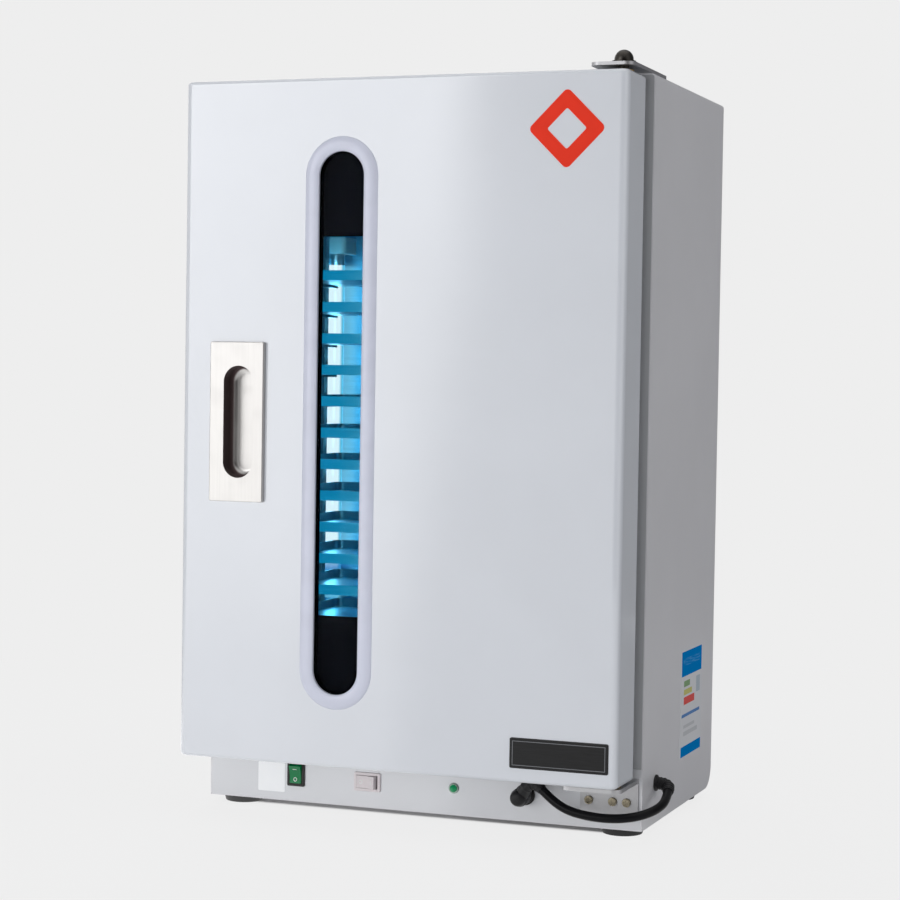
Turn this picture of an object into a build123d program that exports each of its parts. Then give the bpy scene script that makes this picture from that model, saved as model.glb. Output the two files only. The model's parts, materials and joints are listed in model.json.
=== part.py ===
from build123d import *
import math
import os

os.makedirs("parts", exist_ok=True)

# A countertop ultraviolet sterilizer cabinet. Millimetres, +Z up, the door faces -Y.
# The origin is on the floor, at the middle of the cabinet's width and of its whole depth.

# Cabinet
cabinet_width = 365.0
cabinet_depth = 216.0
cabinet_height = 576.0
sheet = 1.0
top_edge_radius = 3.0
lower_rear_radius = 18.0
rear_flange = 14.0
rear_upstand = 38.0
fit_gap = 0.3

# Feet
foot_height = 6.0
foot_top_radius = 17.0
foot_tread_radius = 15.5
foot_inset = 21.0
foot_rear_inset = 36.0
foot_recess_radius = 6.5
foot_recess_depth = 2.6

# Door
door_width = 360.0
door_height = 530.0
door_thickness = 45.0
door_top_step = 4.0
door_gap = 19.0
door_side_radius = 6.0
door_end_radius = 3.0
liner_flange = 12.0

# Seal between the door and the cabinet
seal_inset = 8.0
seal_width = 14.0
seal_depth = 12.0
seal_base = 3.0
seal_neck = 4.0
seal_groove = 3.0
seal_gap = 0.4

# Chamber
mouth_width = 280.0
mouth_drop = 37.0
mouth_height = 404.0
mouth_radius = 6.0
chamber_width = 330.0
chamber_depth = 190.0
liner_sheet = 0.8
liner_lip = 10.0

# Trays and their racks
tray_count = 12
tray_pitch = 25.3
tray_first_rise = 6.7
tray_height = 8.0
tray_depth = 138.0
tray_wall = 0.8
tray_side_gap = 1.7
tray_corner_radius = 8.0
tray_setback = 12.0
tray_seat_gap = 0.3
tab_width = 70.0
tab_reach = 6.0
rack_post_depth = 8.0
rack_post_thickness = 3.0
rack_rear_post = 116.0
runner_reach = 8.5
runner_thickness = 2.0

# Germicidal tubes
tube_radius = 7.8
tube_length = 288.0
tube_rise = 27.0
tube_side_offset = 153.0
tube_wall_distance = 16.4
tube_glass_thickness = 0.8
cap_length = 10.0
cap_gap = 0.1
tube_holder_width = 24.0
tube_holder_height = 14.0
tube_holder_reach = 9.0

# Window in the door
window_x = -46.0
window_drop = 265.0
window_width = 37.0
window_height = 417.0
trim_border = 11.5
trim_proud = 2.2
trim_bevel = 1.5
trim_spigot = 7.5
glass_border = 10.0
glass_thickness = 3.0
well_depth = 9.0
well_wall = 1.5
well_flange = 2.0
light_rise = 23.4
light_height = 292.8
light_exit_width = 76.0
light_exit_height = 320.0

# Recessed pull
pull_x = -131.0
pull_drop = 265.0
pull_width = 46.0
pull_height = 124.5
pull_proud = 4.0
pull_corner_radius = 1.5
cup_offset = 1.5
cup_width = 25.0
cup_height = 87.4
cup_depth = 15.5
cup_wall = 1.2
cup_floor_radius = 6.0

# Hinge
hinge_edge_inset = 10.5
hinge_pin_radius = 4.0
hinge_running_gap = 0.06
hinge_pin_reach = 14.0
bush_wall = 1.9
bush_length = 10.0
bush_flange = 1.8
bush_flange_thickness = 1.2
doubler_size = 20.0
doubler_thickness = 5.0
hinge_plate_thickness = 2.5
hinge_plate_width = 34.0
hinge_plate_on_cabinet = 44.0
hinge_plate_nose = 12.5
hinge_plate_radius = 7.0
hinge_head_radius = 9.0
hinge_head_rim = 1.5
hinge_dome_radius = 7.2
hinge_dome_straight = 1.2
bracket_thickness = 3.0
bracket_left = 134.0
bracket_right = 180.0
bracket_leaf_drop = 31.0
bracket_screw_drop = 20.0

# Switches and fittings on the front of the base
power_switch_x = -106.0
power_switch_z = 29.0
power_switch_width = 15.0
power_switch_height = 21.0
lamp_switch_x = -43.8
lamp_switch_z = 26.8
lamp_switch_width = 22.5
lamp_switch_height = 15.0
switch_bezel = 2.0
switch_rim = 2.2
switch_body_depth = 16.0
switch_well_depth = 8.0
rocker_tilt = 10.0
rocker_rise = 4.6
rocker_dip = 3.2
rocker_keel = 3.0
rocker_end_gap = 1.1
rocker_side_gap = 0.4
rocker_stub_radius = 1.2
rocker_stub_gap = 0.06
led_x = 29.5
led_z = 27.5
led_radius = 3.0
led_bezel_radius = 4.2
led_bezel_height = 1.6
led_stem = 8.0
socket_x = 88.5
socket_z = 27.2
socket_flange_radius = 8.2
socket_flange = 2.0
socket_body_radius = 6.0
socket_body_length = 18.0
fascia_overlap = 5.7
fascia_flange = 10.0

# Catch and door switch
catch_width = 14.0
catch_height = 50.0
catch_drop = 265.0
strike_thickness = 1.2
interlock_x = -120.0
interlock_drop = 31.0
interlock_travel = 4.0
plunger_radius = 3.5
plunger_gap = 0.08
plunger_collar_radius = 5.0
plunger_collar = 2.0
interlock_neck_radius = 5.5
interlock_neck = 4.0
interlock_body_width = 24.0
interlock_body_height = 16.0
interlock_body_depth = 20.0

# Electrical parts on the bottom pan
ballast_left = -70.0
ballast_length = 150.0
ballast_width = 40.0
ballast_height = 28.0
ballast_front = 16.0
terminal_left = 105.0
terminal_length = 50.0
terminal_width = 22.0
terminal_height = 16.0
terminal_front = 26.0
wire_radius = 1.2
gland_x = 120.0
gland_z = 80.0
gland_bore_radius = 4.0
gland_neck_radius = 8.0
gland_flange_radius = 11.0
gland_outside = 8.0
gland_inside = 10.0
gland_nut = 4.0

# Short lead at the front right corner
lead_radius = 3.5
lead_grip_radius = 4.6
lead_entry_y = -40.0
lead_entry_z = 37.5
lead_flange_radius = 6.5
lead_flange = 2.0
plug_radius = 7.6
plug_length = 20.0
plug_nose_radius = 3.0
lead_hole_gap = 0.3

# Screws
screw_head_radius = 3.4
screw_head = 1.8
screw_shank_radius = 1.7
screw_gap = 0.1
screw_slot = 0.8
screw_length = 7.0

# Films and plates that are stuck on
name_plate_x = 135.5
name_plate_rise = 22.6
name_plate_width = 77.0
name_plate_height = 23.0
name_plate_thickness = 1.2
mark_x = 133.5
mark_drop = 43.0
mark_size = 57.0
mark_band = 10.5
mark_corner = 4.0
mark_inner_corner = 1.5
film = 0.25
side_film_front = 32.0
side_film_width = 68.0
side_film_bottom = 44.0
side_film_height = 88.0
switch_film_x = -128.0
switch_film_z = 24.5
switch_film_size = 23.5

# Places that follow from the sizes above
overall_depth = pull_proud + door_thickness + door_gap + cabinet_depth + gland_outside
door_front = -overall_depth / 2 + pull_proud
door_rear = door_front + door_thickness
front = door_rear + door_gap
rear = front + cabinet_depth
half_width = cabinet_width / 2
inside_half = half_width - sheet
bottom = foot_height
top = foot_height + cabinet_height
floor_top = bottom + sheet
door_half = door_width / 2
door_top = top - door_top_step
door_bottom = door_top - door_height
window_z = door_top - window_drop
pull_z = door_top - pull_drop
catch_z = door_top - catch_drop
mark_z = door_top - mark_drop
name_plate_z = door_bottom + name_plate_rise
fascia_top = door_bottom + fascia_overlap
bracket_screw_z = door_bottom - bracket_screw_drop
mouth_top = top - mouth_drop
mouth_bottom = mouth_top - mouth_height
interlock_z = mouth_bottom - interlock_drop
tray_first_level = mouth_bottom + tray_first_rise
tube_bottom = mouth_bottom + tube_rise
light_z = mouth_bottom + light_rise + light_height / 2
skin_rear = door_front + sheet
frame_rear = front + sheet
hinge_x = door_half - hinge_edge_inset
hinge_y = door_front + door_thickness / 2
mouth_half = mouth_width / 2
chamber_half = chamber_width / 2
chamber_rear = frame_rear + chamber_depth
upstand_top = bottom + rear_upstand
tray_front = front + tray_setback
tray_half = mouth_half - tray_side_gap
foot_places = [
    (side * (half_width - foot_inset), y)
    for side in (-1, 1)
    for y in (front + foot_inset - fit_gap, rear - foot_rear_inset)
]


def block(x0, x1, y0, y1, z0, z1):
    """A box between two opposite corners."""
    middle = Pos((x0 + x1) / 2, (y0 + y1) / 2, (z0 + z1) / 2)
    return middle * Box(x1 - x0, y1 - y0, z1 - z0)


def along_y(sketch, x, z, y0, y1):
    """A flat outline in X and Z, made solid from y0 to y1."""
    plane = Plane((x, y1, z), x_dir=(1, 0, 0), z_dir=(0, -1, 0))
    return extrude(plane * sketch, y1 - y0)


def along_x(sketch, y, z, x0, x1):
    """A flat outline in Y and Z, made solid from x0 to x1."""
    plane = Plane((x0, y, z), x_dir=(0, 1, 0), z_dir=(1, 0, 0))
    return extrude(plane * sketch, x1 - x0)


def along_z(sketch, x, y, z0, z1):
    """A flat outline in X and Y, made solid from z0 to z1."""
    return extrude(Plane((x, y, z0)) * sketch, z1 - z0)


def capsule(width, height):
    """An upright outline with two straight sides and round ends."""
    return Rot(0, 0, 90) * SlotOverall(height, width)


def frame_ring(half_x, z0, z1, width, y0, y1):
    """A rectangular ring of one width, between two depths."""
    outer = block(-half_x, half_x, y0, y1, z0, z1)
    inner_half = half_x - width
    return outer - block(-inner_half, inner_half, y0 - 1, y1 + 1, z0 + width, z1 - width)


def screw(place, direction, length=screw_length):
    """A pan head screw whose head lies on place and whose head points along direction."""
    head = Pos(0, 0, screw_head / 2) * Cylinder(screw_head_radius, screw_head)
    head = fillet(head.edges().group_by(Axis.Z)[-1], screw_head * 0.45)
    shank = Pos(0, 0, -length / 2) * Cylinder(screw_shank_radius, length)
    slot_size = 2 * screw_head_radius * 0.55
    slot = Pos(0, 0, screw_head) * Box(slot_size, screw_slot, screw_slot)
    cross = slot + Rot(0, 0, 90) * slot
    return Plane(place, z_dir=direction).location * (head + shank - cross)


def screw_hole(place, direction, depth=2 * screw_length):
    """The hole that a screw at place passes through."""
    hole = Cylinder(screw_shank_radius + screw_gap, depth)
    return Plane(place, z_dir=direction).location * hole


def bend_radii(points, share=0.45):
    """One radius for each inner point: as large as its two runs allow."""
    radii = []
    for before, here, after in zip(points, points[1:], points[2:]):
        run_in = Vector(*here) - Vector(*before)
        run_out = Vector(*after) - Vector(*here)
        half_turn = math.radians(run_in.get_angle(run_out)) / 2
        radii.append(share * min(run_in.length, run_out.length) / math.tan(half_turn))
    return radii


def tube_along(points, radius):
    """A round bar that follows straight runs joined by tangent arcs."""
    path = FilletPolyline(*points, radius=bend_radii(points))
    start = Plane(path @ 0, z_dir=path % 0)
    return sweep(start * Circle(radius), path=path)


# Fixing places that two pieces share
back_screw_places = [
    (side * (half_width - sheet - rear_flange / 2), rear, z)
    for side in (-1, 1)
    for z in (bottom + 110, bottom + 300, top - 60)
]
back_screw_places += [(x, rear, upstand_top + 8) for x in (-100, 100)]
bracket_screw_places = [(x, front - bracket_thickness, bracket_screw_z) for x in (141.0, 160.0, 171.0)]
plate_screw_places = [
    (hinge_x - 6 + dx, front + dy, top + hinge_plate_thickness)
    for dx, dy in ((-8.0, 14.0), (8.0, 32.0))
]


def make_cabinet():
    """The wrap, the bottom pan, the back panel, the front frame and the base fascia."""
    wrap = block(-half_width, half_width, front, rear, bottom, top)
    wrap = fillet(wrap.edges().filter_by(Axis.Y).group_by(Axis.Z)[-1], top_edge_radius)
    low_rear = wrap.edges().filter_by(Axis.X).group_by(Axis.Z)[0].sort_by(Axis.Y)[-1]
    wrap = fillet(low_rear, lower_rear_radius)
    hollow = block(-inside_half, inside_half, front - 1, rear + 1, bottom - 1, top - sheet)
    wrap -= fillet(
        hollow.edges().filter_by(Axis.Y).group_by(Axis.Z)[-1], top_edge_radius - sheet
    )
    flange_front = rear - 2 * sheet
    flange_rear = rear - sheet
    inner = inside_half - rear_flange
    for side in (-1, 1):
        x0, x1 = sorted((side * inner, side * inside_half))
        wrap += block(x0, x1, flange_front, flange_rear, upstand_top + 1, top - sheet)
    wrap += block(-inner, inner, flange_front, flange_rear, top - sheet - rear_flange, top - sheet)
    for place in back_screw_places[:6]:
        wrap -= screw_hole(place, (0, 1, 0))
    for place in plate_screw_places:
        wrap -= screw_hole(place, (0, 0, 1))
    lead_hole = along_x(
        Circle(lead_grip_radius + lead_hole_gap), lead_entry_y, lead_entry_z, inside_half - 1, half_width + 1
    )
    wrap -= lead_hole

    pan_profile = block(-inside_half, inside_half, front, rear, bottom, upstand_top)
    pan_corner = pan_profile.edges().filter_by(Axis.X).group_by(Axis.Z)[0].sort_by(Axis.Y)[-1]
    pan_profile = fillet(pan_corner, lower_rear_radius)
    pan_hollow = block(
        -inside_half - 1, inside_half + 1, front - 1, rear - sheet, floor_top, upstand_top + 1
    )
    hollow_corner = pan_hollow.edges().filter_by(Axis.X).group_by(Axis.Z)[0].sort_by(Axis.Y)[-1]
    pan = pan_profile - fillet(hollow_corner, lower_rear_radius - sheet)
    pan += block(
        -inner + 1, inner - 1, flange_front, flange_rear, upstand_top - 6, upstand_top + rear_flange
    )
    for x, y in foot_places:
        pan -= screw_hole((x, y, bottom), (0, 0, -1))
    for row_y in (-20.0, 70.0):
        for column in range(-3, 4):
            slot_x = column * 26.0
            vent = along_z(SlotOverall(34, 4), slot_x, row_y, bottom - 1, floor_top + 1)
            pan -= vent.rotate(Axis((slot_x, row_y, 0), (0, 0, 1)), 90)
    for place in back_screw_places[6:]:
        pan -= screw_hole(place, (0, 1, 0))

    back = block(
        -inside_half + fit_gap,
        inside_half - fit_gap,
        rear - sheet,
        rear,
        upstand_top + fit_gap,
        top - sheet - fit_gap,
    )
    back_corners = back.edges().filter_by(Axis.Y).group_by(Axis.Z)[-1]
    back = fillet(back_corners, top_edge_radius - sheet)
    for field_z in (bottom + 88, top - 90):
        for row in range(5):
            for column in (-1, 0, 1):
                vent = SlotOverall(40, 4)
                vent_x = column * 52.0 - 30.0
                back -= along_y(vent, vent_x, field_z + row * 9.0, rear - 2 * sheet, rear + 1)
    for place in back_screw_places:
        back -= screw_hole(place, (0, 1, 0), 2 * sheet + 1)
    back -= along_y(
        Circle(gland_neck_radius + screw_gap), gland_x, gland_z, rear - 2 * sheet, rear + 1
    )

    frame_bottom = fascia_top + fit_gap
    frame = block(-inside_half, inside_half, front, frame_rear, frame_bottom, top - sheet)
    land_front = front - (door_gap - seal_depth - seal_gap)
    frame += frame_ring(
        door_half - seal_inset,
        door_bottom + seal_inset,
        door_top - seal_inset,
        seal_width,
        land_front,
        front,
    )
    mouth = RectangleRounded(mouth_width, mouth_height, mouth_radius)
    mouth_z = (mouth_top + mouth_bottom) / 2
    frame -= along_y(mouth, 0, mouth_z, front - 1, frame_rear + 1)
    frame -= along_y(
        Circle(interlock_neck_radius + screw_gap), interlock_x, interlock_z, front - 1, frame_rear + 1
    )
    corner_edges = frame.edges().filter_by(Axis.Y).group_by(Axis.Z)[-1]
    frame = fillet(corner_edges, top_edge_radius - sheet)

    fascia = block(-inside_half, inside_half, front, frame_rear, floor_top, fascia_top)
    fascia += block(
        -inside_half, inside_half, frame_rear, frame_rear + fascia_flange, fascia_top - sheet, fascia_top
    )
    for x, z, width, height in (
        (power_switch_x, power_switch_z, power_switch_width, power_switch_height),
        (lamp_switch_x, lamp_switch_z, lamp_switch_width, lamp_switch_height),
    ):
        cutout = Rectangle(width - 2 + 2 * screw_gap, height - 2 + 2 * screw_gap)
        fascia -= along_y(cutout, x, z, front - 1, frame_rear + 1)
    fascia -= along_y(Circle(led_radius + 0.6), led_x, led_z, front - 1, frame_rear + 1)
    fascia -= along_y(
        Circle(socket_body_radius + screw_gap), socket_x, socket_z, front - 1, frame_rear + 1
    )
    for place in bracket_screw_places:
        fascia -= screw_hole(place, (0, -1, 0))
    return {
        "cabinet_shell": wrap,
        "bottom_pan": pan,
        "back_panel": back,
        "front_frame": frame,
        "control_fascia": fascia,
    }


def make_chamber():
    """The liner that the light stays in, the two racks and the trays."""
    outer = block(
        -chamber_half - liner_sheet,
        chamber_half + liner_sheet,
        frame_rear,
        chamber_rear + liner_sheet,
        mouth_bottom - liner_sheet,
        mouth_top + liner_sheet,
    )
    lip = liner_sheet + liner_lip
    outer += block(
        -chamber_half - lip,
        chamber_half + lip,
        frame_rear,
        frame_rear + liner_sheet,
        mouth_bottom - lip,
        mouth_top + lip,
    )
    liner = outer - block(
        -chamber_half, chamber_half, frame_rear - 1, chamber_rear, mouth_bottom, mouth_top
    )
    holder_z = tube_bottom - tube_holder_height / 2
    for side in (-1, 1):
        wire_hole = Circle(wire_radius + 0.8)
        liner -= along_y(
            wire_hole, side * tube_side_offset, holder_z, chamber_rear - 1, chamber_rear + 2
        )
    pieces = {"chamber_liner": liner}
    for side, name in ((-1, "rack_left"), (1, "rack_right")):
        inner_x = mouth_half - tray_side_gap / 2
        outer_x = inner_x + rack_post_thickness
        rack_x = sorted((side * inner_x, side * outer_x))
        rack = None
        for post_y in (tray_front, tray_front + rack_rear_post - rack_post_depth):
            post = block(
                rack_x[0], rack_x[1], post_y, post_y + rack_post_depth, mouth_bottom, mouth_top
            )
            rack = post if rack is None else rack + post
        runner_x = sorted((side * outer_x, side * (inner_x - runner_reach)))
        for level in range(tray_count):
            z = tray_first_level + level * tray_pitch
            rack += block(
                runner_x[0],
                runner_x[1],
                tray_front,
                tray_front + rack_rear_post,
                z - runner_thickness,
                z,
            )
        pieces[name] = rack
    for level in range(tray_count):
        base = tray_first_level + level * tray_pitch + tray_seat_gap
        outline = RectangleRounded(2 * tray_half, tray_depth, tray_corner_radius)
        hollow = RectangleRounded(
            2 * (tray_half - tray_wall), tray_depth - 2 * tray_wall, tray_corner_radius - tray_wall
        )
        middle = tray_front + tray_depth / 2
        tray = along_z(outline, 0, middle, base, base + tray_height)
        tray -= along_z(hollow, 0, middle, base + tray_wall, base + tray_height + 1)
        tab = along_z(
            RectangleRounded(tab_width, 2 * tab_reach, 3), 0, tray_front, 0, tray_wall
        )
        tab -= block(-tab_width, tab_width, tray_front, tray_front + 2 * tab_reach, -1, tray_wall + 1)
        tray += Pos(0, 0, base + tray_height - tray_wall) * tab
        pieces[f"tray_{level + 1:02d}"] = tray
    return pieces


def make_tubes():
    """Two upright germicidal tubes, their end caps and the holders on the rear wall."""
    tube_y = chamber_rear - tube_wall_distance
    tube_top = tube_bottom + tube_length
    tubes = []
    caps = []
    holders = []
    for side in (-1, 1):
        x = side * tube_side_offset
        glass = along_z(
            Circle(tube_radius), x, tube_y, tube_bottom + cap_length, tube_top - cap_length
        )
        glass = glass - along_z(
            Circle(tube_radius - tube_glass_thickness),
            x,
            tube_y,
            tube_bottom + cap_length + tube_glass_thickness,
            tube_top - cap_length - tube_glass_thickness,
        )
        tubes.append(glass)
        for z0, pin0 in ((tube_bottom, tube_bottom - 4), (tube_top - cap_length, tube_top)):
            cap = along_z(Circle(tube_radius), x, tube_y, z0, z0 + cap_length)
            for dx in (-2.5, 2.5):
                cap += along_z(Circle(1.2), x + dx, tube_y, pin0, pin0 + 4)
            caps.append(cap)
        for z0, slot0 in (
            (tube_bottom - tube_holder_height, tube_bottom - 4.2),
            (tube_top, tube_top - 0.1),
        ):
            holder = block(
                x - tube_holder_width / 2,
                x + tube_holder_width / 2,
                tube_y - tube_holder_reach,
                chamber_rear,
                z0,
                z0 + tube_holder_height,
            )
            holder = fillet(
                holder.edges().filter_by(Axis.Z).group_by(Axis.Y)[0], tube_holder_reach / 2
            )
            half_slot = 3.9
            holder -= block(
                x - half_slot, x + half_slot, tube_y - 1.5, tube_y + 1.5, slot0, slot0 + 4.3
            )
            holders.append(holder)
    return {
        "uv_tubes": Compound(tubes),
        "tube_caps": Compound(caps),
        "tube_holders": Compound(holders),
    }


def make_door():
    """Door shell, inner panel, seal, bushes and strike plate."""
    shell = block(-door_half, door_half, door_front, door_rear, door_bottom, door_top)
    upright = shell.edges().filter_by(Axis.Z).group_by(Axis.Y)[0]
    shell = fillet(upright, door_side_radius)
    front_edges = shell.edges().group_by(Axis.Y)[0]
    level_edges = front_edges.filter_by(Axis.X)
    shell = fillet(level_edges, door_end_radius)
    hollow = block(
        -door_half + sheet,
        door_half - sheet,
        skin_rear,
        door_rear + 1,
        door_bottom + sheet,
        door_top - sheet,
    )
    hollow_upright = hollow.edges().filter_by(Axis.Z).group_by(Axis.Y)[0]
    shell -= fillet(hollow_upright, door_side_radius - sheet)
    doubler_y = (hinge_y - doubler_size / 2, hinge_y + doubler_size / 2)
    doubler_x = (hinge_x - doubler_size + hinge_edge_inset - sheet, door_half - sheet)
    shell += block(
        *doubler_x, *doubler_y, door_top - sheet - doubler_thickness, door_top - sheet
    )
    shell += block(
        *doubler_x, *doubler_y, door_bottom + sheet, door_bottom + sheet + doubler_thickness
    )
    bush_radius = hinge_pin_radius + hinge_running_gap + bush_wall
    bush_hole = Circle(bush_radius + 0.05)
    shell -= along_z(bush_hole, hinge_x, hinge_y, door_top - 10, door_top + 1)
    shell -= along_z(bush_hole, hinge_x, hinge_y, door_bottom - 1, door_bottom + 10)
    window_hole = capsule(window_width + 2 * trim_spigot, window_height + 2 * trim_spigot)
    shell -= along_y(window_hole, window_x, window_z, door_front - 1, skin_rear + 1)
    pull_hole = capsule(
        cup_width + 2 * cup_wall + 2 * fit_gap, cup_height + 2 * cup_wall + 2 * fit_gap
    )
    shell -= along_y(pull_hole, pull_x + cup_offset, pull_z, door_front - 1, skin_rear + 1)

    edge = sheet + 0.2
    liner = block(
        -door_half + edge,
        door_half - edge,
        door_rear - liner_flange,
        door_rear,
        door_bottom + edge,
        door_top - edge,
    )
    inner_edge = edge + sheet
    liner -= block(
        -door_half + inner_edge,
        door_half - inner_edge,
        door_rear - liner_flange - 1,
        door_rear - sheet,
        door_bottom + inner_edge,
        door_top - inner_edge,
    )
    exit_hole = Rectangle(
        light_exit_width + 2 * well_wall + 2 * fit_gap,
        light_exit_height + 2 * well_wall + 2 * fit_gap,
    )
    liner -= along_y(exit_hole, window_x, light_z, door_rear - 2 * sheet, door_rear + 1)

    seal_half = door_half - seal_inset
    seal_z = (door_bottom + seal_inset, door_top - seal_inset)
    seal = frame_ring(seal_half, *seal_z, seal_width, door_rear, door_rear + seal_base)
    neck_z = (seal_z[0] + seal_groove, seal_z[1] - seal_groove)
    neck_end = door_rear + seal_base + seal_neck
    seal += frame_ring(
        seal_half - seal_groove,
        *neck_z,
        seal_width - 2 * seal_groove,
        door_rear + seal_base,
        neck_end,
    )
    seal += frame_ring(seal_half, *seal_z, seal_width, neck_end, door_rear + seal_depth)

    bushes = []
    bore = Circle(hinge_pin_radius + hinge_running_gap)
    for flange_z, sleeve_z in (
        (door_top, door_top - bush_length),
        (door_bottom - bush_flange_thickness, door_bottom),
    ):
        bush = along_z(
            Circle(bush_radius + bush_flange), hinge_x, hinge_y, flange_z, flange_z + bush_flange_thickness
        )
        bush += along_z(Circle(bush_radius), hinge_x, hinge_y, sleeve_z, sleeve_z + bush_length)
        bush -= along_z(bore, hinge_x, hinge_y, flange_z - 20, flange_z + 20)
        bushes.append(bush)

    catch_x = -(mouth_half + catch_width / 2 + 2)
    strike = block(
        catch_x - catch_width / 2,
        catch_x + catch_width / 2,
        door_rear,
        door_rear + strike_thickness,
        catch_z - catch_height / 2 - 5,
        catch_z + catch_height / 2 + 5,
    )
    return {
        "door_shell": shell,
        "door_liner": liner,
        "door_seal": seal,
        "hinge_bushes": Compound(bushes),
        "strike_plate": strike,
    }


def make_window():
    """The capsule trim, its glass and the dark well with a flared light path."""
    trim = along_y(
        capsule(window_width + 2 * trim_border, window_height + 2 * trim_border),
        window_x,
        window_z,
        door_front - trim_proud,
        door_front,
    )
    trim = chamfer(trim.edges().group_by(Axis.Y)[0], trim_bevel, trim_bevel * 1.3)
    trim += along_y(
        capsule(
            window_width + 2 * trim_spigot - 2 * fit_gap, window_height + 2 * trim_spigot - 2 * fit_gap
        ),
        window_x,
        window_z,
        door_front,
        skin_rear,
    )
    opening = capsule(window_width, window_height)
    trim -= along_y(opening, window_x, window_z, door_front - 10, door_front + 10)

    glass_outline = capsule(window_width + 2 * glass_border, window_height + 2 * glass_border)
    glass_rear = skin_rear + glass_thickness
    glass = along_y(glass_outline, window_x, window_z, skin_rear, glass_rear)

    well_rear = door_front + well_depth
    well = along_y(glass_outline, window_x, window_z, glass_rear, glass_rear + well_flange)
    well += along_y(
        capsule(window_width + 2 * well_wall, window_height + 2 * well_wall),
        window_x,
        window_z,
        glass_rear,
        well_rear + well_wall,
    )
    well -= along_y(opening, window_x, window_z, glass_rear - 1, well_rear)
    flare_end = door_rear
    start_plane = Plane((window_x, well_rear, light_z), x_dir=(1, 0, 0), z_dir=(0, -1, 0))
    end_plane = Plane((window_x, flare_end, light_z), x_dir=(1, 0, 0), z_dir=(0, -1, 0))
    flare_outside = loft(
        [
            start_plane * Rectangle(window_width + 2 * well_wall, light_height + 2 * well_wall),
            end_plane
            * Rectangle(light_exit_width + 2 * well_wall, light_exit_height + 2 * well_wall),
        ]
    )
    flare_inside = loft(
        [
            start_plane * Rectangle(window_width, light_height),
            end_plane * Rectangle(light_exit_width, light_exit_height),
        ]
    )
    well = well + flare_outside - flare_inside
    return {"window_trim": trim, "window_glass": glass, "window_well": well}


def make_pull():
    """The flush steel pull: a plate with a drawn cup for the fingers."""
    plate = along_y(
        RectangleRounded(pull_width, pull_height, pull_corner_radius),
        pull_x,
        pull_z,
        door_front - pull_proud,
        door_front,
    )
    plate = fillet(plate.edges().group_by(Axis.Y)[0], 0.8)
    cup_x = pull_x + cup_offset
    cup_rear = door_front - pull_proud + cup_depth
    cup = along_y(
        capsule(cup_width + 2 * cup_wall, cup_height + 2 * cup_wall),
        cup_x,
        pull_z,
        door_front,
        cup_rear + cup_wall,
    )
    cup = fillet(cup.edges().group_by(Axis.Y)[-1], cup_floor_radius)
    hollow = along_y(capsule(cup_width, cup_height), cup_x, pull_z, door_front - 10, cup_rear)
    hollow = fillet(hollow.edges().group_by(Axis.Y)[-1], cup_floor_radius)
    return {"door_pull": plate + cup - hollow}


def make_hinge():
    """Top plate with its domed pin, lower bracket with its pin."""
    plate_x = hinge_x - 6
    plate_y0 = hinge_y - hinge_plate_nose
    plate_y1 = front + hinge_plate_on_cabinet
    plate_top = top + hinge_plate_thickness
    outline = RectangleRounded(hinge_plate_width, plate_y1 - plate_y0, hinge_plate_radius)
    plate = along_z(outline, plate_x, (plate_y0 + plate_y1) / 2, top, plate_top)
    plate -= along_z(Circle(hinge_pin_radius + 0.05), hinge_x, hinge_y, top - 1, plate_top + 1)
    for place in plate_screw_places:
        plate -= screw_hole(place, (0, 0, 1))

    pin = along_z(
        Circle(hinge_pin_radius), hinge_x, hinge_y, door_top - hinge_pin_reach, plate_top
    )
    pin = chamfer(pin.edges().group_by(Axis.Z)[0], 0.8)
    rim_top = plate_top + hinge_head_rim
    pin += along_z(Circle(hinge_head_radius), hinge_x, hinge_y, plate_top, rim_top)
    straight_top = rim_top + hinge_dome_straight
    pin += along_z(Circle(hinge_dome_radius), hinge_x, hinge_y, rim_top, straight_top)
    dome = Pos(hinge_x, hinge_y, straight_top) * Sphere(hinge_dome_radius)
    dome -= block(
        hinge_x - 20, hinge_x + 20, hinge_y - 20, hinge_y + 20, straight_top - 20, straight_top
    )
    pin += dome

    leaf_top = door_bottom - bush_flange_thickness - fit_gap
    leaf_bottom = leaf_top - bracket_thickness
    bracket_x = (bracket_left + bracket_right) / 2
    leaf = along_z(
        RectangleRounded(
            bracket_right - bracket_left, front - plate_y0 + 2 * hinge_plate_radius, hinge_plate_radius
        ),
        bracket_x,
        (plate_y0 + front + 2 * hinge_plate_radius) / 2,
        leaf_bottom,
        leaf_top,
    )
    leaf -= block(bracket_left - 1, bracket_right + 1, front, front + 40, leaf_bottom - 1, leaf_top + 1)
    bracket = leaf + block(
        bracket_left, bracket_right, front - bracket_thickness, front, leaf_top - bracket_leaf_drop, leaf_top
    )
    bracket -= along_z(
        Circle(hinge_pin_radius + 0.02), hinge_x, hinge_y, leaf_bottom - 1, leaf_top + 1
    )
    for place in bracket_screw_places:
        bracket -= screw_hole(place, (0, -1, 0))
    lower_pin = along_z(
        Circle(hinge_pin_radius), hinge_x, hinge_y, leaf_bottom, door_bottom + hinge_pin_reach
    )
    lower_pin = chamfer(lower_pin.edges().group_by(Axis.Z)[-1], 0.8)

    screws = [screw(place, (0, 0, 1), 6.0) for place in plate_screw_places]
    screws += [screw(place, (0, -1, 0)) for place in bracket_screw_places]
    return {
        "hinge_plate_top": plate,
        "hinge_pin_top": pin,
        "hinge_bracket_bottom": bracket,
        "hinge_pin_bottom": lower_pin,
        "hinge_screws": Compound(screws),
    }


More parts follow.
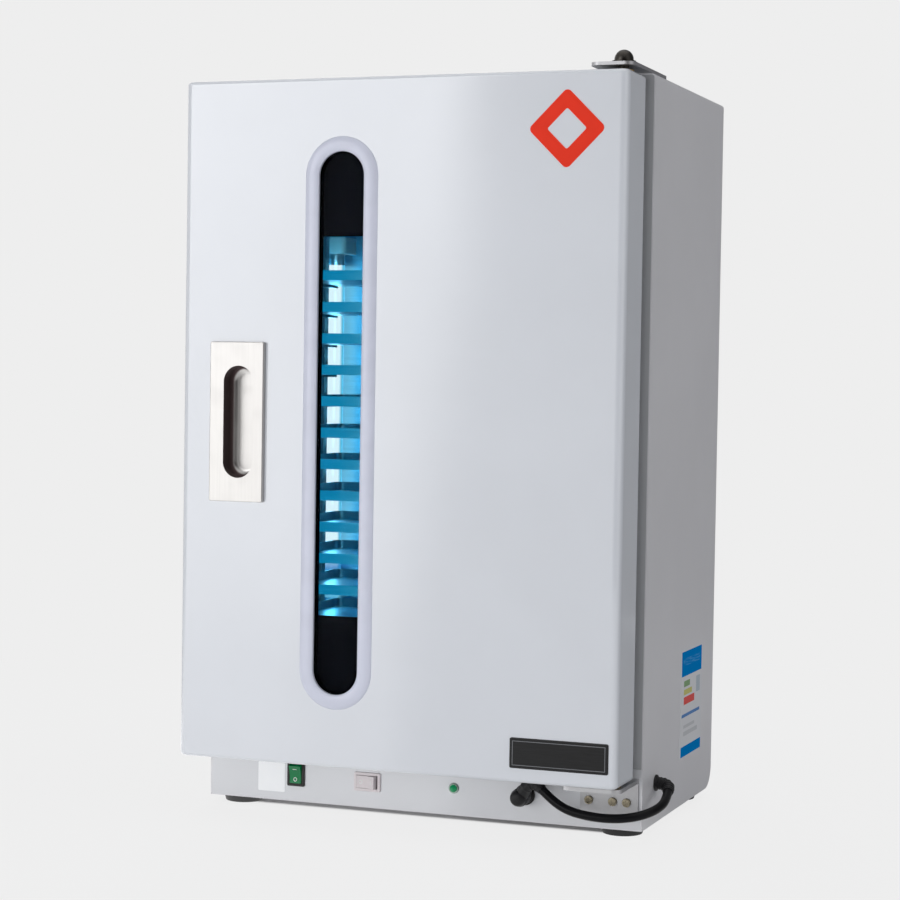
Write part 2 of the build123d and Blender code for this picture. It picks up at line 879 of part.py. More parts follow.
def rocker_switch(x, z, width, height, upright):
    """A panel switch: its housing with a well, and the rocker tilted to its on position."""
    body_width = width - 2
    body_height = height - 2
    bezel_front = front - switch_bezel
    housing = along_y(RectangleRounded(width, height, 1.2), x, z, bezel_front, front)
    housing = fillet(housing.edges().group_by(Axis.Y)[0], 0.5)
    housing += along_y(
        Rectangle(body_width, body_height), x, z, front, front + switch_body_depth
    )
    well_width = width - 2 * switch_rim
    well_height = height - 2 * switch_rim
    housing -= along_y(
        Rectangle(well_width, well_height), x, z, bezel_front - 1, bezel_front + switch_well_depth
    )
    span = well_height if upright else well_width
    across = well_width if upright else well_height
    half_span = span / 2 - rocker_end_gap
    half_across = across / 2 - rocker_side_gap
    pivot_y = bezel_front + 2.4
    crown = ThreePointArc(
        (-half_span, rocker_rise), (0, rocker_dip), (half_span, rocker_rise)
    )
    keel = Polyline(
        (half_span, rocker_rise), (half_span, 0.4), (0, -rocker_keel), (-half_span, 0.4),
        (-half_span, rocker_rise),
    )
    outline = make_face(crown + keel)
    rocker = extrude(outline, half_across, both=True)
    stubs = Cylinder(rocker_stub_radius, 2 * (half_across + 1.2))
    rocker = (rocker + stubs).rotate(Axis.Z, rocker_tilt)
    stub_hole = Cylinder(rocker_stub_radius + rocker_stub_gap, 2 * (half_across + 1.6))
    if upright:
        seat = Plane((x, pivot_y, z), x_dir=(0, 0, 1), z_dir=(1, 0, 0)).location
    else:
        seat = Plane((x, pivot_y, z), x_dir=(1, 0, 0), z_dir=(0, 0, -1)).location
    housing -= seat * stub_hole
    return housing, seat * rocker


def make_controls():
    """The switches, the indicator, the socket, the catch and the door switch."""
    power_housing, power_rocker = rocker_switch(
        power_switch_x, power_switch_z, power_switch_width, power_switch_height, True
    )
    lamp_housing, lamp_rocker = rocker_switch(
        lamp_switch_x, lamp_switch_z, lamp_switch_width, lamp_switch_height, False
    )
    bezel_front = front - led_bezel_height
    bezel = along_y(Circle(led_bezel_radius), led_x, led_z, bezel_front, front)
    bezel = fillet(bezel.edges().group_by(Axis.Y)[0], 0.7)
    bezel += along_y(Circle(led_radius + 0.5), led_x, led_z, front, front + led_stem)
    bezel -= along_y(Circle(led_radius + 0.05), led_x, led_z, bezel_front - 1, front + led_stem + 1)
    lens = along_y(Circle(led_radius), led_x, led_z, bezel_front, front + led_stem - 1)
    dome = Pos(led_x, bezel_front, led_z) * Sphere(led_radius)
    lens += dome - block(led_x - 5, led_x + 5, bezel_front, bezel_front + 5, led_z - 5, led_z + 5)

    socket = along_y(Circle(socket_flange_radius), socket_x, socket_z, front - socket_flange, front)
    socket = fillet(socket.edges().group_by(Axis.Y)[0], 0.8)
    socket += along_y(
        Circle(socket_body_radius), socket_x, socket_z, front, front + socket_body_length
    )
    nut = along_y(
        RegularPolygon(socket_body_radius + 3, 6), socket_x, socket_z, frame_rear, frame_rear + 3
    )
    socket += nut

    catch_x = -(mouth_half + catch_width / 2 + 2)
    catch_front = door_rear + strike_thickness + fit_gap
    catch = block(
        catch_x - catch_width / 2,
        catch_x + catch_width / 2,
        catch_front + 3,
        front,
        catch_z - catch_height / 2,
        catch_z + catch_height / 2,
    )
    catch = fillet(catch.edges().filter_by(Axis.Y), 2)
    for dx in (-3.5, 3.5):
        catch += block(
            catch_x + dx - 1, catch_x + dx + 1, catch_front, front - 1, catch_z - 16, catch_z + 16
        )

    body = block(
        interlock_x - interlock_body_width / 2,
        interlock_x + interlock_body_width / 2,
        frame_rear,
        frame_rear + interlock_body_depth,
        interlock_z - interlock_body_height / 2,
        interlock_z + interlock_body_height / 2,
    )
    body += along_y(
        Circle(interlock_neck_radius), interlock_x, interlock_z, front - interlock_neck, frame_rear
    )
    bore_radius = plunger_radius + plunger_gap
    body -= along_y(
        Circle(bore_radius), interlock_x, interlock_z, front - 10, frame_rear + 5
    )
    cavity_front = frame_rear + 2
    cavity_rear = frame_rear + interlock_body_depth - 2
    body -= along_y(
        Circle(plunger_collar_radius + 0.4), interlock_x, interlock_z, cavity_front, cavity_rear
    )
    collar_front = cavity_front + interlock_travel + 1
    plunger = along_y(
        Circle(plunger_radius),
        interlock_x,
        interlock_z,
        door_rear + fit_gap,
        collar_front + plunger_collar + 4,
    )
    plunger = fillet(plunger.edges().group_by(Axis.Y)[0], 1.2)
    plunger += along_y(
        Circle(plunger_collar_radius), interlock_x, interlock_z, collar_front, collar_front + plunger_collar
    )
    return {
        "power_switch_housing": power_housing,
        "power_rocker": power_rocker,
        "lamp_switch_housing": lamp_housing,
        "lamp_rocker": lamp_rocker,
        "led_bezel": bezel,
        "led_lens": lens,
        "panel_socket": socket,
        "magnet_catch": catch,
        "interlock_switch": body,
        "interlock_plunger": plunger,
    }


def make_electrics():
    """Ballast, terminal block, wires and the cord gland at the rear."""
    ballast = block(
        ballast_left,
        ballast_left + ballast_length,
        ballast_front,
        ballast_front + ballast_width,
        floor_top,
        floor_top + ballast_height,
    )
    ballast = fillet(ballast.edges().filter_by(Axis.X).group_by(Axis.Z)[-1], 2.5)
    terminal = block(
        terminal_left,
        terminal_left + terminal_length,
        terminal_front,
        terminal_front + terminal_width,
        floor_top,
        floor_top + terminal_height,
    )
    for way in range(5):
        way_x = terminal_left + 5 + way * 10
        terminal -= along_z(
            Circle(2.6), way_x, terminal_front + 5, floor_top + 9, floor_top + terminal_height + 1
        )
        terminal -= along_z(
            Circle(2.6), way_x, terminal_front + 17, floor_top + 9, floor_top + terminal_height + 1
        )

    inner_face = rear - sheet
    gland = along_y(
        RegularPolygon(gland_flange_radius, 6), gland_x, gland_z, rear, rear + gland_outside - 3
    )
    gland += along_y(
        Circle(gland_neck_radius), gland_x, gland_z, inner_face - gland_inside, rear + gland_outside
    )
    gland += along_y(
        RegularPolygon(gland_flange_radius, 6),
        gland_x,
        gland_z,
        inner_face - gland_nut,
        inner_face,
    )
    gland -= along_y(
        Circle(gland_bore_radius), gland_x, gland_z, inner_face - gland_inside - 1, rear + gland_outside + 1
    )

    ballast_middle = ballast_front + ballast_width / 2
    switch_rear = front + switch_body_depth
    rise_y = chamber_rear + liner_sheet + 9
    holder_z = tube_bottom - tube_holder_height / 2
    routes = [
        [
            (terminal_left + 10, terminal_front, 14),
            (terminal_left + 10, terminal_front - 12, 14),
            (80.0, -26.0, 12),
            (10.0, -38.0, 12),
            (-60.0, -40.0, 14),
            (power_switch_x + 3, switch_rear + 16, power_switch_z - 1.5),
            (power_switch_x + 3, switch_rear, power_switch_z - 1.5),
        ],
        [
            (power_switch_x - 3, switch_rear, power_switch_z + 1.5),
            (power_switch_x - 3, switch_rear + 14, power_switch_z + 1.5),
            (power_switch_x - 1, ballast_middle - 22, 22),
            (ballast_left - 14, ballast_middle, 18),
            (ballast_left, ballast_middle, 18),
        ],
        [
            (lamp_switch_x, switch_rear, lamp_switch_z + 0.5),
            (lamp_switch_x, switch_rear + 16, lamp_switch_z + 0.5),
            (ballast_left + 44, ballast_front - 16, 18),
            (ballast_left + 44, ballast_front, 18),
        ],
        [
            (led_x, front + led_stem - 1, led_z),
            (led_x, front + led_stem + 16, led_z),
            (terminal_left + 20, terminal_front - 24, 18),
            (terminal_left + 22, terminal_front - 10, 16),
            (terminal_left + 22, terminal_front, 16),
        ],
        [
            (socket_x, front + socket_body_length, socket_z),
            (socket_x, front + socket_body_length + 14, socket_z),
            (terminal_left + 36, terminal_front - 14, 16),
            (terminal_left + 36, terminal_front, 16),
        ],
    ]
    ballast_right = ballast_left + ballast_length
    for side, start_x in ((-1, ballast_left), (1, ballast_right)):
        start_y = ballast_middle + side * 9
        routes.append(
            [
                (start_x, start_y, 26),
                (start_x + side * 12, start_y, 26),
                (start_x + side * 22, rear - 44, 44),
                (side * (tube_side_offset - 14), rise_y, 92),
                (side * tube_side_offset, rise_y, 122),
                (side * tube_side_offset, rise_y, holder_z),
                (side * tube_side_offset, chamber_rear, holder_z),
            ]
        )
    wires = [tube_along(route, wire_radius) for route in routes]
    return {
        "ballast": ballast,
        "terminal_block": terminal,
        "mains_gland": gland,
        "wire_harness": Compound(wires),
    }


def make_lead():
    """The round plug on the base front, the short lead and its elbow grip on the right side."""
    plug_rear = front - socket_flange
    plug = along_y(Circle(plug_radius), socket_x, socket_z, plug_rear - plug_length, plug_rear)
    plug = fillet(plug.edges().group_by(Axis.Y)[0], plug_nose_radius)
    lead_route = [
        (108.5, -97.5, 36.0),
        (117.5, -99.5, 28.5),
        (131.0, -101.5, 22.0),
        (148.0, -102.5, 19.3),
        (165.5, -102.5, 18.8),
        (181.5, -99.0, 20.6),
        (192.5, -89.5, 23.6),
        (197.0, -76.0, 26.4),
        (197.2, -63.0, 29.4),
        (195.5, -51.5, 33.0),
    ]
    start = Vector(*lead_route[0])
    start_run = (Vector(*lead_route[1]) - start).normalized()
    plug_neck = [
        (socket_x + 2, start.Y + 0.5, socket_z + 2),
        tuple(start - start_run * 9.0),
        lead_route[0],
    ]
    plug += tube_along(plug_neck, lead_grip_radius)
    end = Vector(*lead_route[-1])
    end_run = (end - Vector(*lead_route[-2])).normalized()
    grip = tube_along(
        [
            (inside_half - 4, lead_entry_y, lead_entry_z),
            (half_width + 5, lead_entry_y, lead_entry_z),
            tuple(end + end_run * 9.0),
            lead_route[-1],
        ],
        lead_grip_radius,
    )
    grip += along_x(
        Circle(lead_flange_radius), lead_entry_y, lead_entry_z, half_width, half_width + lead_flange
    )
    lead = tube_along(lead_route, lead_radius)
    radii = bend_radii(lead_route)
    print("lead radii", [round(radius, 1) for radius in radii])
    path = FilletPolyline(*lead_route, radius=radii)
    print("lead length", round(path.length, 1))
    plain_volume = math.pi * lead_radius**2 * path.length
    print("lead volume against section times length", round(lead.volume / plain_volume, 4))
    return {"lead_plug": plug, "lead_cord": lead, "lead_grip": grip}


def make_small_parts():
    """Feet, panel screws and what is stuck on the outside."""
    feet = []
    screws = []
    for x, y in foot_places:
        foot = Pos(x, y, foot_height / 2) * Cone(foot_tread_radius, foot_top_radius, foot_height)
        foot = fillet(foot.edges().group_by(Axis.Z)[0], 0.8)
        foot -= along_z(Circle(foot_recess_radius), x, y, -1, foot_recess_depth)
        foot -= screw_hole((x, y, foot_height / 2), (0, 0, 1))
        feet.append(foot)
        screws.append(screw((x, y, foot_recess_depth), (0, 0, -1)))
    screws += [screw(place, (0, 1, 0)) for place in back_screw_places]

    name_plate = along_y(
        RectangleRounded(name_plate_width, name_plate_height, 1.5),
        name_plate_x,
        name_plate_z,
        door_front - name_plate_thickness,
        door_front,
    )
    name_plate = chamfer(name_plate.edges().group_by(Axis.Y)[0], 0.6)

    # The mark is a plain square ring that stands on one corner, mark_size from corner to corner.
    mark_side = mark_size / math.sqrt(2) + mark_corner * (2 - math.sqrt(2))
    mark_hole = mark_side - 2 * mark_band
    mark_outline = Rot(0, 0, 45) * (
        RectangleRounded(mark_side, mark_side, mark_corner)
        - RectangleRounded(mark_hole, mark_hole, mark_inner_corner)
    )
    door_mark = along_y(mark_outline, mark_x, mark_z, door_front - film, door_front)

    side_film = block(
        half_width,
        half_width + film,
        side_film_front,
        side_film_front + side_film_width,
        side_film_bottom,
        side_film_bottom + side_film_height,
    )
    switch_film = along_y(
        RectangleRounded(switch_film_size, switch_film_size, 1),
        switch_film_x,
        switch_film_z,
        front - film,
        front,
    )
    return {
        "feet": Compound(feet),
        "panel_screws": Compound(screws),
        "name_plate": name_plate,
        "door_mark": door_mark,
        "stickers": Compound([side_film, switch_film]),
    }


nodes = {}
for make in (
    make_cabinet,
    make_chamber,
    make_tubes,
    make_door,
    make_window,
    make_pull,
    make_hinge,
    make_controls,
    make_electrics,
    make_lead,
    make_small_parts,
):
    nodes.update(make())
for name, shape in nodes.items():
    shape.label = name
    export_step(shape, f"parts/{name}.step")
print(len(nodes), "nodes")
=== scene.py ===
"""Looks for a countertop ultraviolet sterilizer cabinet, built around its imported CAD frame."""

import json
import logging
import math
from dataclasses import dataclass
from enum import Enum
from typing import Callable, Sequence

import bmesh
import bpy
from mathutils import Matrix, Vector

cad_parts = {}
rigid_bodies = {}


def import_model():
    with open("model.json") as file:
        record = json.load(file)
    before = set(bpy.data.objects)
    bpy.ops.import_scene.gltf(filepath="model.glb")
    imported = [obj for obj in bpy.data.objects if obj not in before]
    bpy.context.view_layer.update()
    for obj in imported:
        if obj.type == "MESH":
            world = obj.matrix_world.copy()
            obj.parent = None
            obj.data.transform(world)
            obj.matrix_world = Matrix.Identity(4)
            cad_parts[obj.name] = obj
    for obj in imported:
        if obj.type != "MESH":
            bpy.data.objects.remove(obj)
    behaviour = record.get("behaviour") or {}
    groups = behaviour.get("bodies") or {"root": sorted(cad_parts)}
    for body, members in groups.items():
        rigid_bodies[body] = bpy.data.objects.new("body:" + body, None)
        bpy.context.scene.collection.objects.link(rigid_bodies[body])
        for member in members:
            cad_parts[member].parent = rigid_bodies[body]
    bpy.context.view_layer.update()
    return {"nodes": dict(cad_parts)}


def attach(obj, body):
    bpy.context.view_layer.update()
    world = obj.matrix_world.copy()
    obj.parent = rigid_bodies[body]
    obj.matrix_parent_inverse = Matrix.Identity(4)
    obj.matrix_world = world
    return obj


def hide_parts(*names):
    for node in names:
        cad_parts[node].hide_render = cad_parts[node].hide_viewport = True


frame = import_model()

log = logging.getLogger("sterilizer")

made_materials: dict[str, bpy.types.Material] = {}

Point = tuple[float, float, float]
Colour = tuple[float, float, float]
Pair = tuple[float, float]

MM = 0.001

# The faces of the closed door and of the cabinet, from the front to the rear, in millimetres.
DOOR_FRONT = -142.0
DOOR_REAR = -97.0
CABINET_FRONT = -78.0
CABINET_REAR = 138.0

# The angles, in degrees, past which an edge stays sharp on hard and on soft pieces.
HARD_CREASE = 35.0
SOFT_CREASE = 50.0

# Points of a made mesh that are closer than this, in metres, are merged.
MERGE_DISTANCE = 1e-7

# A turned shape's points on its axis keep this radius, in metres, until they are merged.
LEAST_RADIUS = 1e-6

# The direction out of the object's front, and the one to its right.
OUTWARDS = (0.0, -1.0, 0.0)
RIGHTWARDS = (1.0, 0.0, 0.0)

# Noise mostly lies between these values.
NOISE_RANGE = (0.3, 0.7)


def linear(red: float, green: float, blue: float) -> Colour:
    """Turn a colour on the screen's 0 to 255 scale into linear light.

    Args:
        red: Red, 0 to 255.
        green: Green, 0 to 255.
        blue: Blue, 0 to 255.

    Returns:
        The linear colour.
    """

    def straightened(level: float) -> float:
        """Turn one part of the colour, after the usual curve of a screen."""
        share = level / 255.0
        return share / 12.92 if share <= 0.04045 else ((share + 0.055) / 1.055) ** 2.4

    return (straightened(red), straightened(green), straightened(blue))


def rgba(colour: Sequence[float]) -> tuple[float, ...]:
    """Give a three-part colour the fourth part that a socket takes."""
    return (*colour, 1.0) if len(colour) == 3 else tuple(colour)


def darker(colour: Colour, share: float) -> Colour:
    """Keep a share of each part of a colour."""
    return tuple(part * share for part in colour)


def metres(point: Sequence[float]) -> Vector:
    """Turn a point in millimetres into metres."""
    return Vector(point) * MM


class Wire:
    """One output of a shader node, on which Python arithmetic adds Math nodes."""

    def __init__(self, kit: "ShaderKit", socket: bpy.types.NodeSocket) -> None:
        self.kit = kit
        self.socket = socket

    def _math(self, operation: str, first: "Term", second: "Term" = 0.0) -> "Wire":
        """Add one Math node."""
        return self.kit.node("ShaderNodeMath", {"operation": operation}, {0: first, 1: second})

    def __add__(self, other: "Term") -> "Wire":
        """Add a value."""
        return self._math("ADD", self, other)

    __radd__ = __add__

    def __sub__(self, other: "Term") -> "Wire":
        """Take a value away."""
        return self._math("SUBTRACT", self, other)

    def __rsub__(self, other: "Term") -> "Wire":
        """Take this from a value."""
        return self._math("SUBTRACT", other, self)

    def __mul__(self, other: "Term") -> "Wire":
        """Multiply by a value."""
        return self._math("MULTIPLY", self, other)

    __rmul__ = __mul__

    def __truediv__(self, other: "Term") -> "Wire":
        """Divide by a value."""
        return self._math("DIVIDE", self, other)

    def __rtruediv__(self, other: "Term") -> "Wire":
        """Divide a value by this."""
        return self._math("DIVIDE", other, self)

    def __pow__(self, other: "Term") -> "Wire":
        """Raise to a power."""
        return self._math("POWER", self, other)

    def __gt__(self, other: "Term") -> "Wire":
        """One where this is larger, and nothing elsewhere."""
        return self._math("GREATER_THAN", self, other)

    def __lt__(self, other: "Term") -> "Wire":
        """One where this is smaller, and nothing elsewhere."""
        return self._math("LESS_THAN", self, other)

    def absolute(self) -> "Wire":
        """This without its sign."""
        return self._math("ABSOLUTE", self)

    def most(self, other: "Term") -> "Wire":
        """The larger of two values."""
        return self._math("MAXIMUM", self, other)

    def least(self, other: "Term") -> "Wire":
        """The smaller of two values."""
        return self._math("MINIMUM", self, other)

    def between(self, low: float, high: float) -> "Wire":
        """One from low to high, and nothing elsewhere."""
        return (self > low) * (self < high)

    def ramp(self, low: float, high: float) -> "Wire":
        """Rise smoothly from nothing at low to one at high.

        Args:
            low: The value up to which nothing is given.
            high: The value from which one is given.

        Returns:
            The smooth rise.
        """
        return self.kit.node(
            "ShaderNodeMapRange",
            {"interpolation_type": "SMOOTHSTEP"},
            {0: self, 1: low, 2: high, 3: 0.0, 4: 1.0},
        )


Term = Wire | float | Sequence[float]


class ShaderKit:
    """A node tree that is written as expressions."""

    def __init__(self, tree: bpy.types.NodeTree) -> None:
        """Empty the tree and keep it."""
        self.tree = tree
        tree.nodes.clear()

    def node(
        self,
        kind: str,
        settings: dict[str, object] | None = None,
        sockets: dict[int | str, Term] | None = None,
        out: int | str = 0,
    ) -> Wire:
        """Add a node.

        Args:
            kind: The node's type.
            settings: Its properties, which are set first.
            sockets: A value or a wire for each input.
            out: The output to return.

        Returns:
            The chosen output.
        """
        made = self.tree.nodes.new(kind)
        for key, value in (settings or {}).items():
            setattr(made, key, value)
        for key, value in (sockets or {}).items():
            if isinstance(value, Wire):
                self.tree.links.new(value.socket, made.inputs[key])
            else:
                made.inputs[key].default_value = value
        return Wire(self, made.outputs[out]) if len(made.outputs) else Wire(self, made.inputs[0])

    def place(self) -> Wire:
        """The piece's own coordinates, in metres."""
        return self.node("ShaderNodeTexCoord", out="Object")

    def parts(self, vector: Wire) -> tuple[Wire, Wire, Wire]:
        """The three parts of a vector."""
        outputs = self.node("ShaderNodeSeparateXYZ", {}, {0: vector}).socket.node.outputs
        return tuple(Wire(self, outputs[index]) for index in range(3))

    def axes(self) -> tuple[Wire, Wire, Wire]:
        """The three parts of the piece's own coordinates."""
        return self.parts(self.place())

    def ray(self, kind: str) -> Wire:
        """One for rays of the kind that an output of Light Path names, and nothing for others."""
        return self.node("ShaderNodeLightPath", out=kind)

    def seen(self) -> Wire:
        """One for what is seen straight from the camera or through glass."""
        return self.ray("Is Camera Ray").most(self.ray("Is Transmission Ray"))

    def stretched(self, scale: Point) -> Wire:
        """The piece's coordinates, scaled apart on each axis."""
        return self.node("ShaderNodeMapping", {}, {"Vector": self.place(), "Scale": scale})

    def noise(
        self, scale: float, detail: float = 2.0, roughness: float = 0.5, vector: Wire | None = None
    ) -> Wire:
        """Smooth noise from nothing to one.

        Args:
            scale: Its cycles a metre.
            detail: How many finer layers it has.
            roughness: How strong those layers are.
            vector: The coordinates, or nothing for the piece's own.

        Returns:
            The noise.
        """
        where = vector or self.place()
        sockets = {"Vector": where, "Scale": scale, "Detail": detail, "Roughness": roughness}
        return self.node("ShaderNodeTexNoise", {}, sockets)

    def mix(self, share: Term, low: Term, high: Term) -> Wire:
        """A colour between two colours.

        Args:
            share: How much of the second colour is taken.
            low: The first colour.
            high: The second colour.

        Returns:
            The mixed colour.
        """
        ends = [side if isinstance(side, Wire) else rgba(side) for side in (low, high)]
        settings = {"data_type": "RGBA", "clamp_factor": True}
        return self.node("ShaderNodeMix", settings, {0: share, 6: ends[0], 7: ends[1]}, out=2)

    def bump(self, height: Wire, distance: float) -> Wire:
        """A normal that a height, times distance in metres, tilts."""
        return self.node("ShaderNodeBump", {}, {"Distance": distance, "Height": height})

    def glow(self, kind: str, colour: Term, strength: Term) -> Wire:
        """A shader of a kind that gives off light."""
        ready = rgba(colour) if isinstance(colour, tuple) else colour
        return self.node(kind, {}, {"Color": ready, "Strength": strength})

    def blend(self, share: Term, first: Wire, second: Wire) -> Wire:
        """The first shader where the share is nothing, and the second where it is one."""
        return self.node("ShaderNodeMixShader", {}, {0: share, 1: first, 2: second})

    def principled(self, sockets: dict[str, Term]) -> Wire:
        """Add the surface shader.

        Args:
            sockets: A value or a wire for each named input.

        Returns:
            The shader.
        """
        ready = {
            key: rgba(value) if isinstance(value, tuple) else value
            for key, value in sockets.items()
        }
        return self.node("ShaderNodeBsdfPrincipled", {}, ready)

    def surface(self, shader: Wire) -> None:
        """Send a shader to the material's output."""
        self.node("ShaderNodeOutputMaterial", {}, {"Surface": shader})

    def cover(self, sockets: dict[str, Term]) -> None:
        """Add the surface shader and send it to the material's output."""
        self.surface(self.principled(sockets))


@dataclass(frozen=True)
class Finish:
    """A finish that becomes one material."""

    name: str

    def build(self) -> bpy.types.Material:
        """Make the material, or find it where it is made already.

        Returns:
            The material.
        """
        if self.name not in made_materials:
            made = bpy.data.materials.new(self.name)
            made.use_nodes = True
            self.shade(ShaderKit(made.node_tree))
            made_materials[self.name] = made
        return made_materials[self.name]

    def shade(self, kit: ShaderKit) -> None:
        """Fill the material's tree."""
        raise NotImplementedError


@dataclass(frozen=True)
class Paint(Finish):
    """Sprayed and baked gloss paint on sheet steel, with its patterns in cycles a metre."""

    colour: Colour
    roughness: float = 0.22
    coat: float = 0.35
    coat_roughness: float = 0.2
    coat_ior: float = 1.5
    specular: float = 0.5
    dust_height: float = 0.03
    dust_cover: float = 0.5
    dust_share: float = 0.93
    cloud_scale: float = 7.0
    cloud_share: float = 0.965
    speck_scale: float = 900.0
    speck_roughness: float = 0.02
    smear_scale: float = 28.0
    smear_roughness: float = 0.05
    peel_scales: Pair = (420.0, 60.0)
    peel_depth: float = 0.00001

    def shade(self, kit: ShaderKit) -> None:
        """Cloud the colour slightly, with a fine orange peel and a little dust low down.

        Args:
            kit: The material's empty tree.
        """
        _, _, height = kit.axes()
        cloud = kit.noise(self.cloud_scale, 3.0).ramp(0.35, 0.65)
        speck = kit.noise(self.speck_scale, 2.0)
        smear = kit.noise(self.smear_scale, 4.0, 0.6, kit.stretched((1.0, 1.0, 0.35)))
        fine, coarse = self.peel_scales
        ripple = kit.noise(fine, 1.0) + kit.noise(coarse, 1.0) * 2.0
        colour = kit.mix(cloud, darker(self.colour, self.cloud_share), self.colour)
        dust = (1.0 - height.ramp(0.0, self.dust_height)) * speck * self.dust_cover
        uneven = smear.ramp(0.4, 0.75) * self.smear_roughness
        kit.cover(
            {
                "Base Color": kit.mix(dust, colour, darker(self.colour, self.dust_share)),
                "Roughness": self.roughness + uneven + speck * self.speck_roughness,
                "Specular IOR Level": self.specular,
                "Coat Weight": self.coat,
                "Coat Roughness": self.coat_roughness,
                "Coat IOR": self.coat_ior,
                "Normal": kit.bump(ripple, self.peel_depth),
            }
        )


@dataclass(frozen=True)
class BrushedSteel(Finish):
    """Stainless sheet with straight grain along one axis."""

    colour: Colour
    grain: Point
    roughness: float = 0.3
    grain_share: float = 0.86
    grain_roughness: float = 0.1
    grain_depth: float = 0.000012
    cloud_scale: float = 24.0
    cloud_roughness: float = 0.08

    def shade(self, kit: ShaderKit) -> None:
        """Draw long fine scratches, and faint clouds from handling.

        Args:
            kit: The material's empty tree.
        """
        lines = kit.noise(1.0, 5.0, 0.7, kit.stretched(self.grain))
        clouds = kit.noise(self.cloud_scale, 3.0).ramp(0.45, 0.8) * self.cloud_roughness
        dark = darker(self.colour, self.grain_share)
        kit.cover(
            {
                "Base Color": kit.mix(lines.ramp(*NOISE_RANGE), dark, self.colour),
                "Metallic": 1.0,
                "Roughness": self.roughness + lines * self.grain_roughness + clouds,
                "Normal": kit.bump(lines, self.grain_depth),
            }
        )


@dataclass(frozen=True)
class PullSteel(Finish):
    """Polished stainless plate with a pressed cup, whose upright walls are left dull and carry a
    painted shade that makes them dark.
    """

    colour: Colour
    wall_shade_colour: Colour
    cup_middle: Pair = (-0.1295, 0.313)
    cup_half_width: float = 0.0125
    cup_half_straight: float = 0.0312
    face: float = -0.1460
    face_depths: Pair = (0.0002, 0.0012)
    bend: float = 0.0018
    wall_bends: Point = (-1.6, -0.8, 0.5)
    wall_roughness: float = 0.25
    roughness: float = 0.26
    grain: Point = (900.0, 900.0, 14.0)
    grain_share: float = 0.93
    grain_roughness: float = 0.08
    grain_depth: float = 0.000004
    rub_scale: float = 70.0
    rub_roughness: float = 0.05

    def shade(self, kit: ShaderKit) -> None:
        """Find the cup's walls from their distance to its middle line, and paint shade on them.

        Args:
            kit: The material's empty tree.
        """
        across, out, height = kit.axes()
        along = (height - self.cup_middle[1]).absolute() - self.cup_half_straight
        sideways = across - self.cup_middle[0]
        reach = along.most(0.0)
        distance = (sideways * sideways + reach * reach) ** 0.5
        wall_from, wall_to, wall_end = (
            self.cup_half_width + self.bend * share for share in self.wall_bends
        )
        inside = out.ramp(*(self.face + depth for depth in self.face_depths))
        # Painted shade: the cup's walls get a dark colour that stands in for the shadow in the
        # pocket, and a rougher shine.
        painted_wall_shade = distance.ramp(wall_from, wall_to) * inside * (1.0 - (distance > wall_end))
        grain = kit.noise(1.0, 5.0, 0.7, kit.stretched(self.grain))
        rub = kit.noise(self.rub_scale, 3.0).ramp(0.45, 0.8) * self.rub_roughness
        dark = darker(self.colour, self.grain_share)
        steel = kit.mix(grain.ramp(*NOISE_RANGE), dark, self.colour)
        roughness = self.roughness + grain * self.grain_roughness + rub
        kit.cover(
            {
                "Base Color": kit.mix(painted_wall_shade, steel, self.wall_shade_colour),
                "Metallic": 1.0,
                "Roughness": roughness + painted_wall_shade * self.wall_roughness,
                "Normal": kit.bump(grain, self.grain_depth),
            }
        )


@dataclass(frozen=True)
class PlatedSteel(Finish):
    """Bright or dark plated metal, with fine rub marks."""

    colour: Colour
    roughness: float = 0.16
    rubbed: float = 0.8
    rub_scale: float = 260.0
    rub_roughness: float = 0.14
    rub_depth: float = 0.000008

    def shade(self, kit: ShaderKit) -> None:
        """Rub the plating duller in small patches.

        Args:
            kit: The material's empty tree.
        """
        rub = kit.noise(self.rub_scale, 4.0, 0.65)
        dark = darker(self.colour, self.rubbed)
        kit.cover(
            {
                "Base Color": kit.mix(rub.ramp(0.35, 0.7), dark, self.colour),
                "Metallic": 1.0,
                "Roughness": self.roughness + rub.ramp(0.4, 0.8) * self.rub_roughness,
                "Normal": kit.bump(rub, self.rub_depth),
            }
        )


@dataclass(frozen=True)
class Moulded(Finish):
    """Plastic or rubber with a moulded grain, and a glow where a lamp lights it from inside."""

    colour: Colour
    roughness: float = 0.4
    grain_scale: float = 1100.0
    grain_depth: float = 0.00002
    specular: float = 0.5
    glow: float = 0.0
    cloud_scale: float = 45.0
    cloud_share: float = 0.95
    cloud_roughness: float = 0.05

    def shade(self, kit: ShaderKit) -> None:
        """Give the moulding its grain, and a slight unevenness in its shine.

        Args:
            kit: The material's empty tree.
        """
        grain = kit.noise(self.grain_scale, 3.0, 0.6)
        cloud = kit.noise(self.cloud_scale, 2.0)
        dark = darker(self.colour, self.cloud_share)
        spread = self.cloud_roughness
        sockets: dict[str, Term] = {
            "Base Color": kit.mix(cloud.ramp(*NOISE_RANGE), dark, self.colour),
            "Roughness": self.roughness + cloud * spread - spread / 2,
            "Specular IOR Level": self.specular,
            "Normal": kit.bump(grain, self.grain_depth),
        }
        if self.glow:
            sockets["Emission Color"] = self.colour
            sockets["Emission Strength"] = self.glow
        kit.cover(sockets)


@dataclass(frozen=True)
class ClearGlass(Finish):
    """Flat glass, faintly smeared."""

    tint: Colour
    ior: float = 1.05
    smear_scale: float = 18.0
    smear_roughness: float = 0.02

    def shade(self, kit: ShaderKit) -> None:
        """Smear a clear pane a little.

        Args:
            kit: The material's empty tree.
        """
        smear = kit.noise(self.smear_scale, 4.0, 0.6, kit.stretched((1.0, 1.0, 0.4)))
        kit.cover(
            {
                "Base Color": self.tint,
                "Roughness": smear.ramp(0.55, 0.9) * self.smear_roughness,
                "Transmission Weight": 1.0,
                "IOR": self.ior,
                "Specular IOR Level": 0.0,
            }
        )


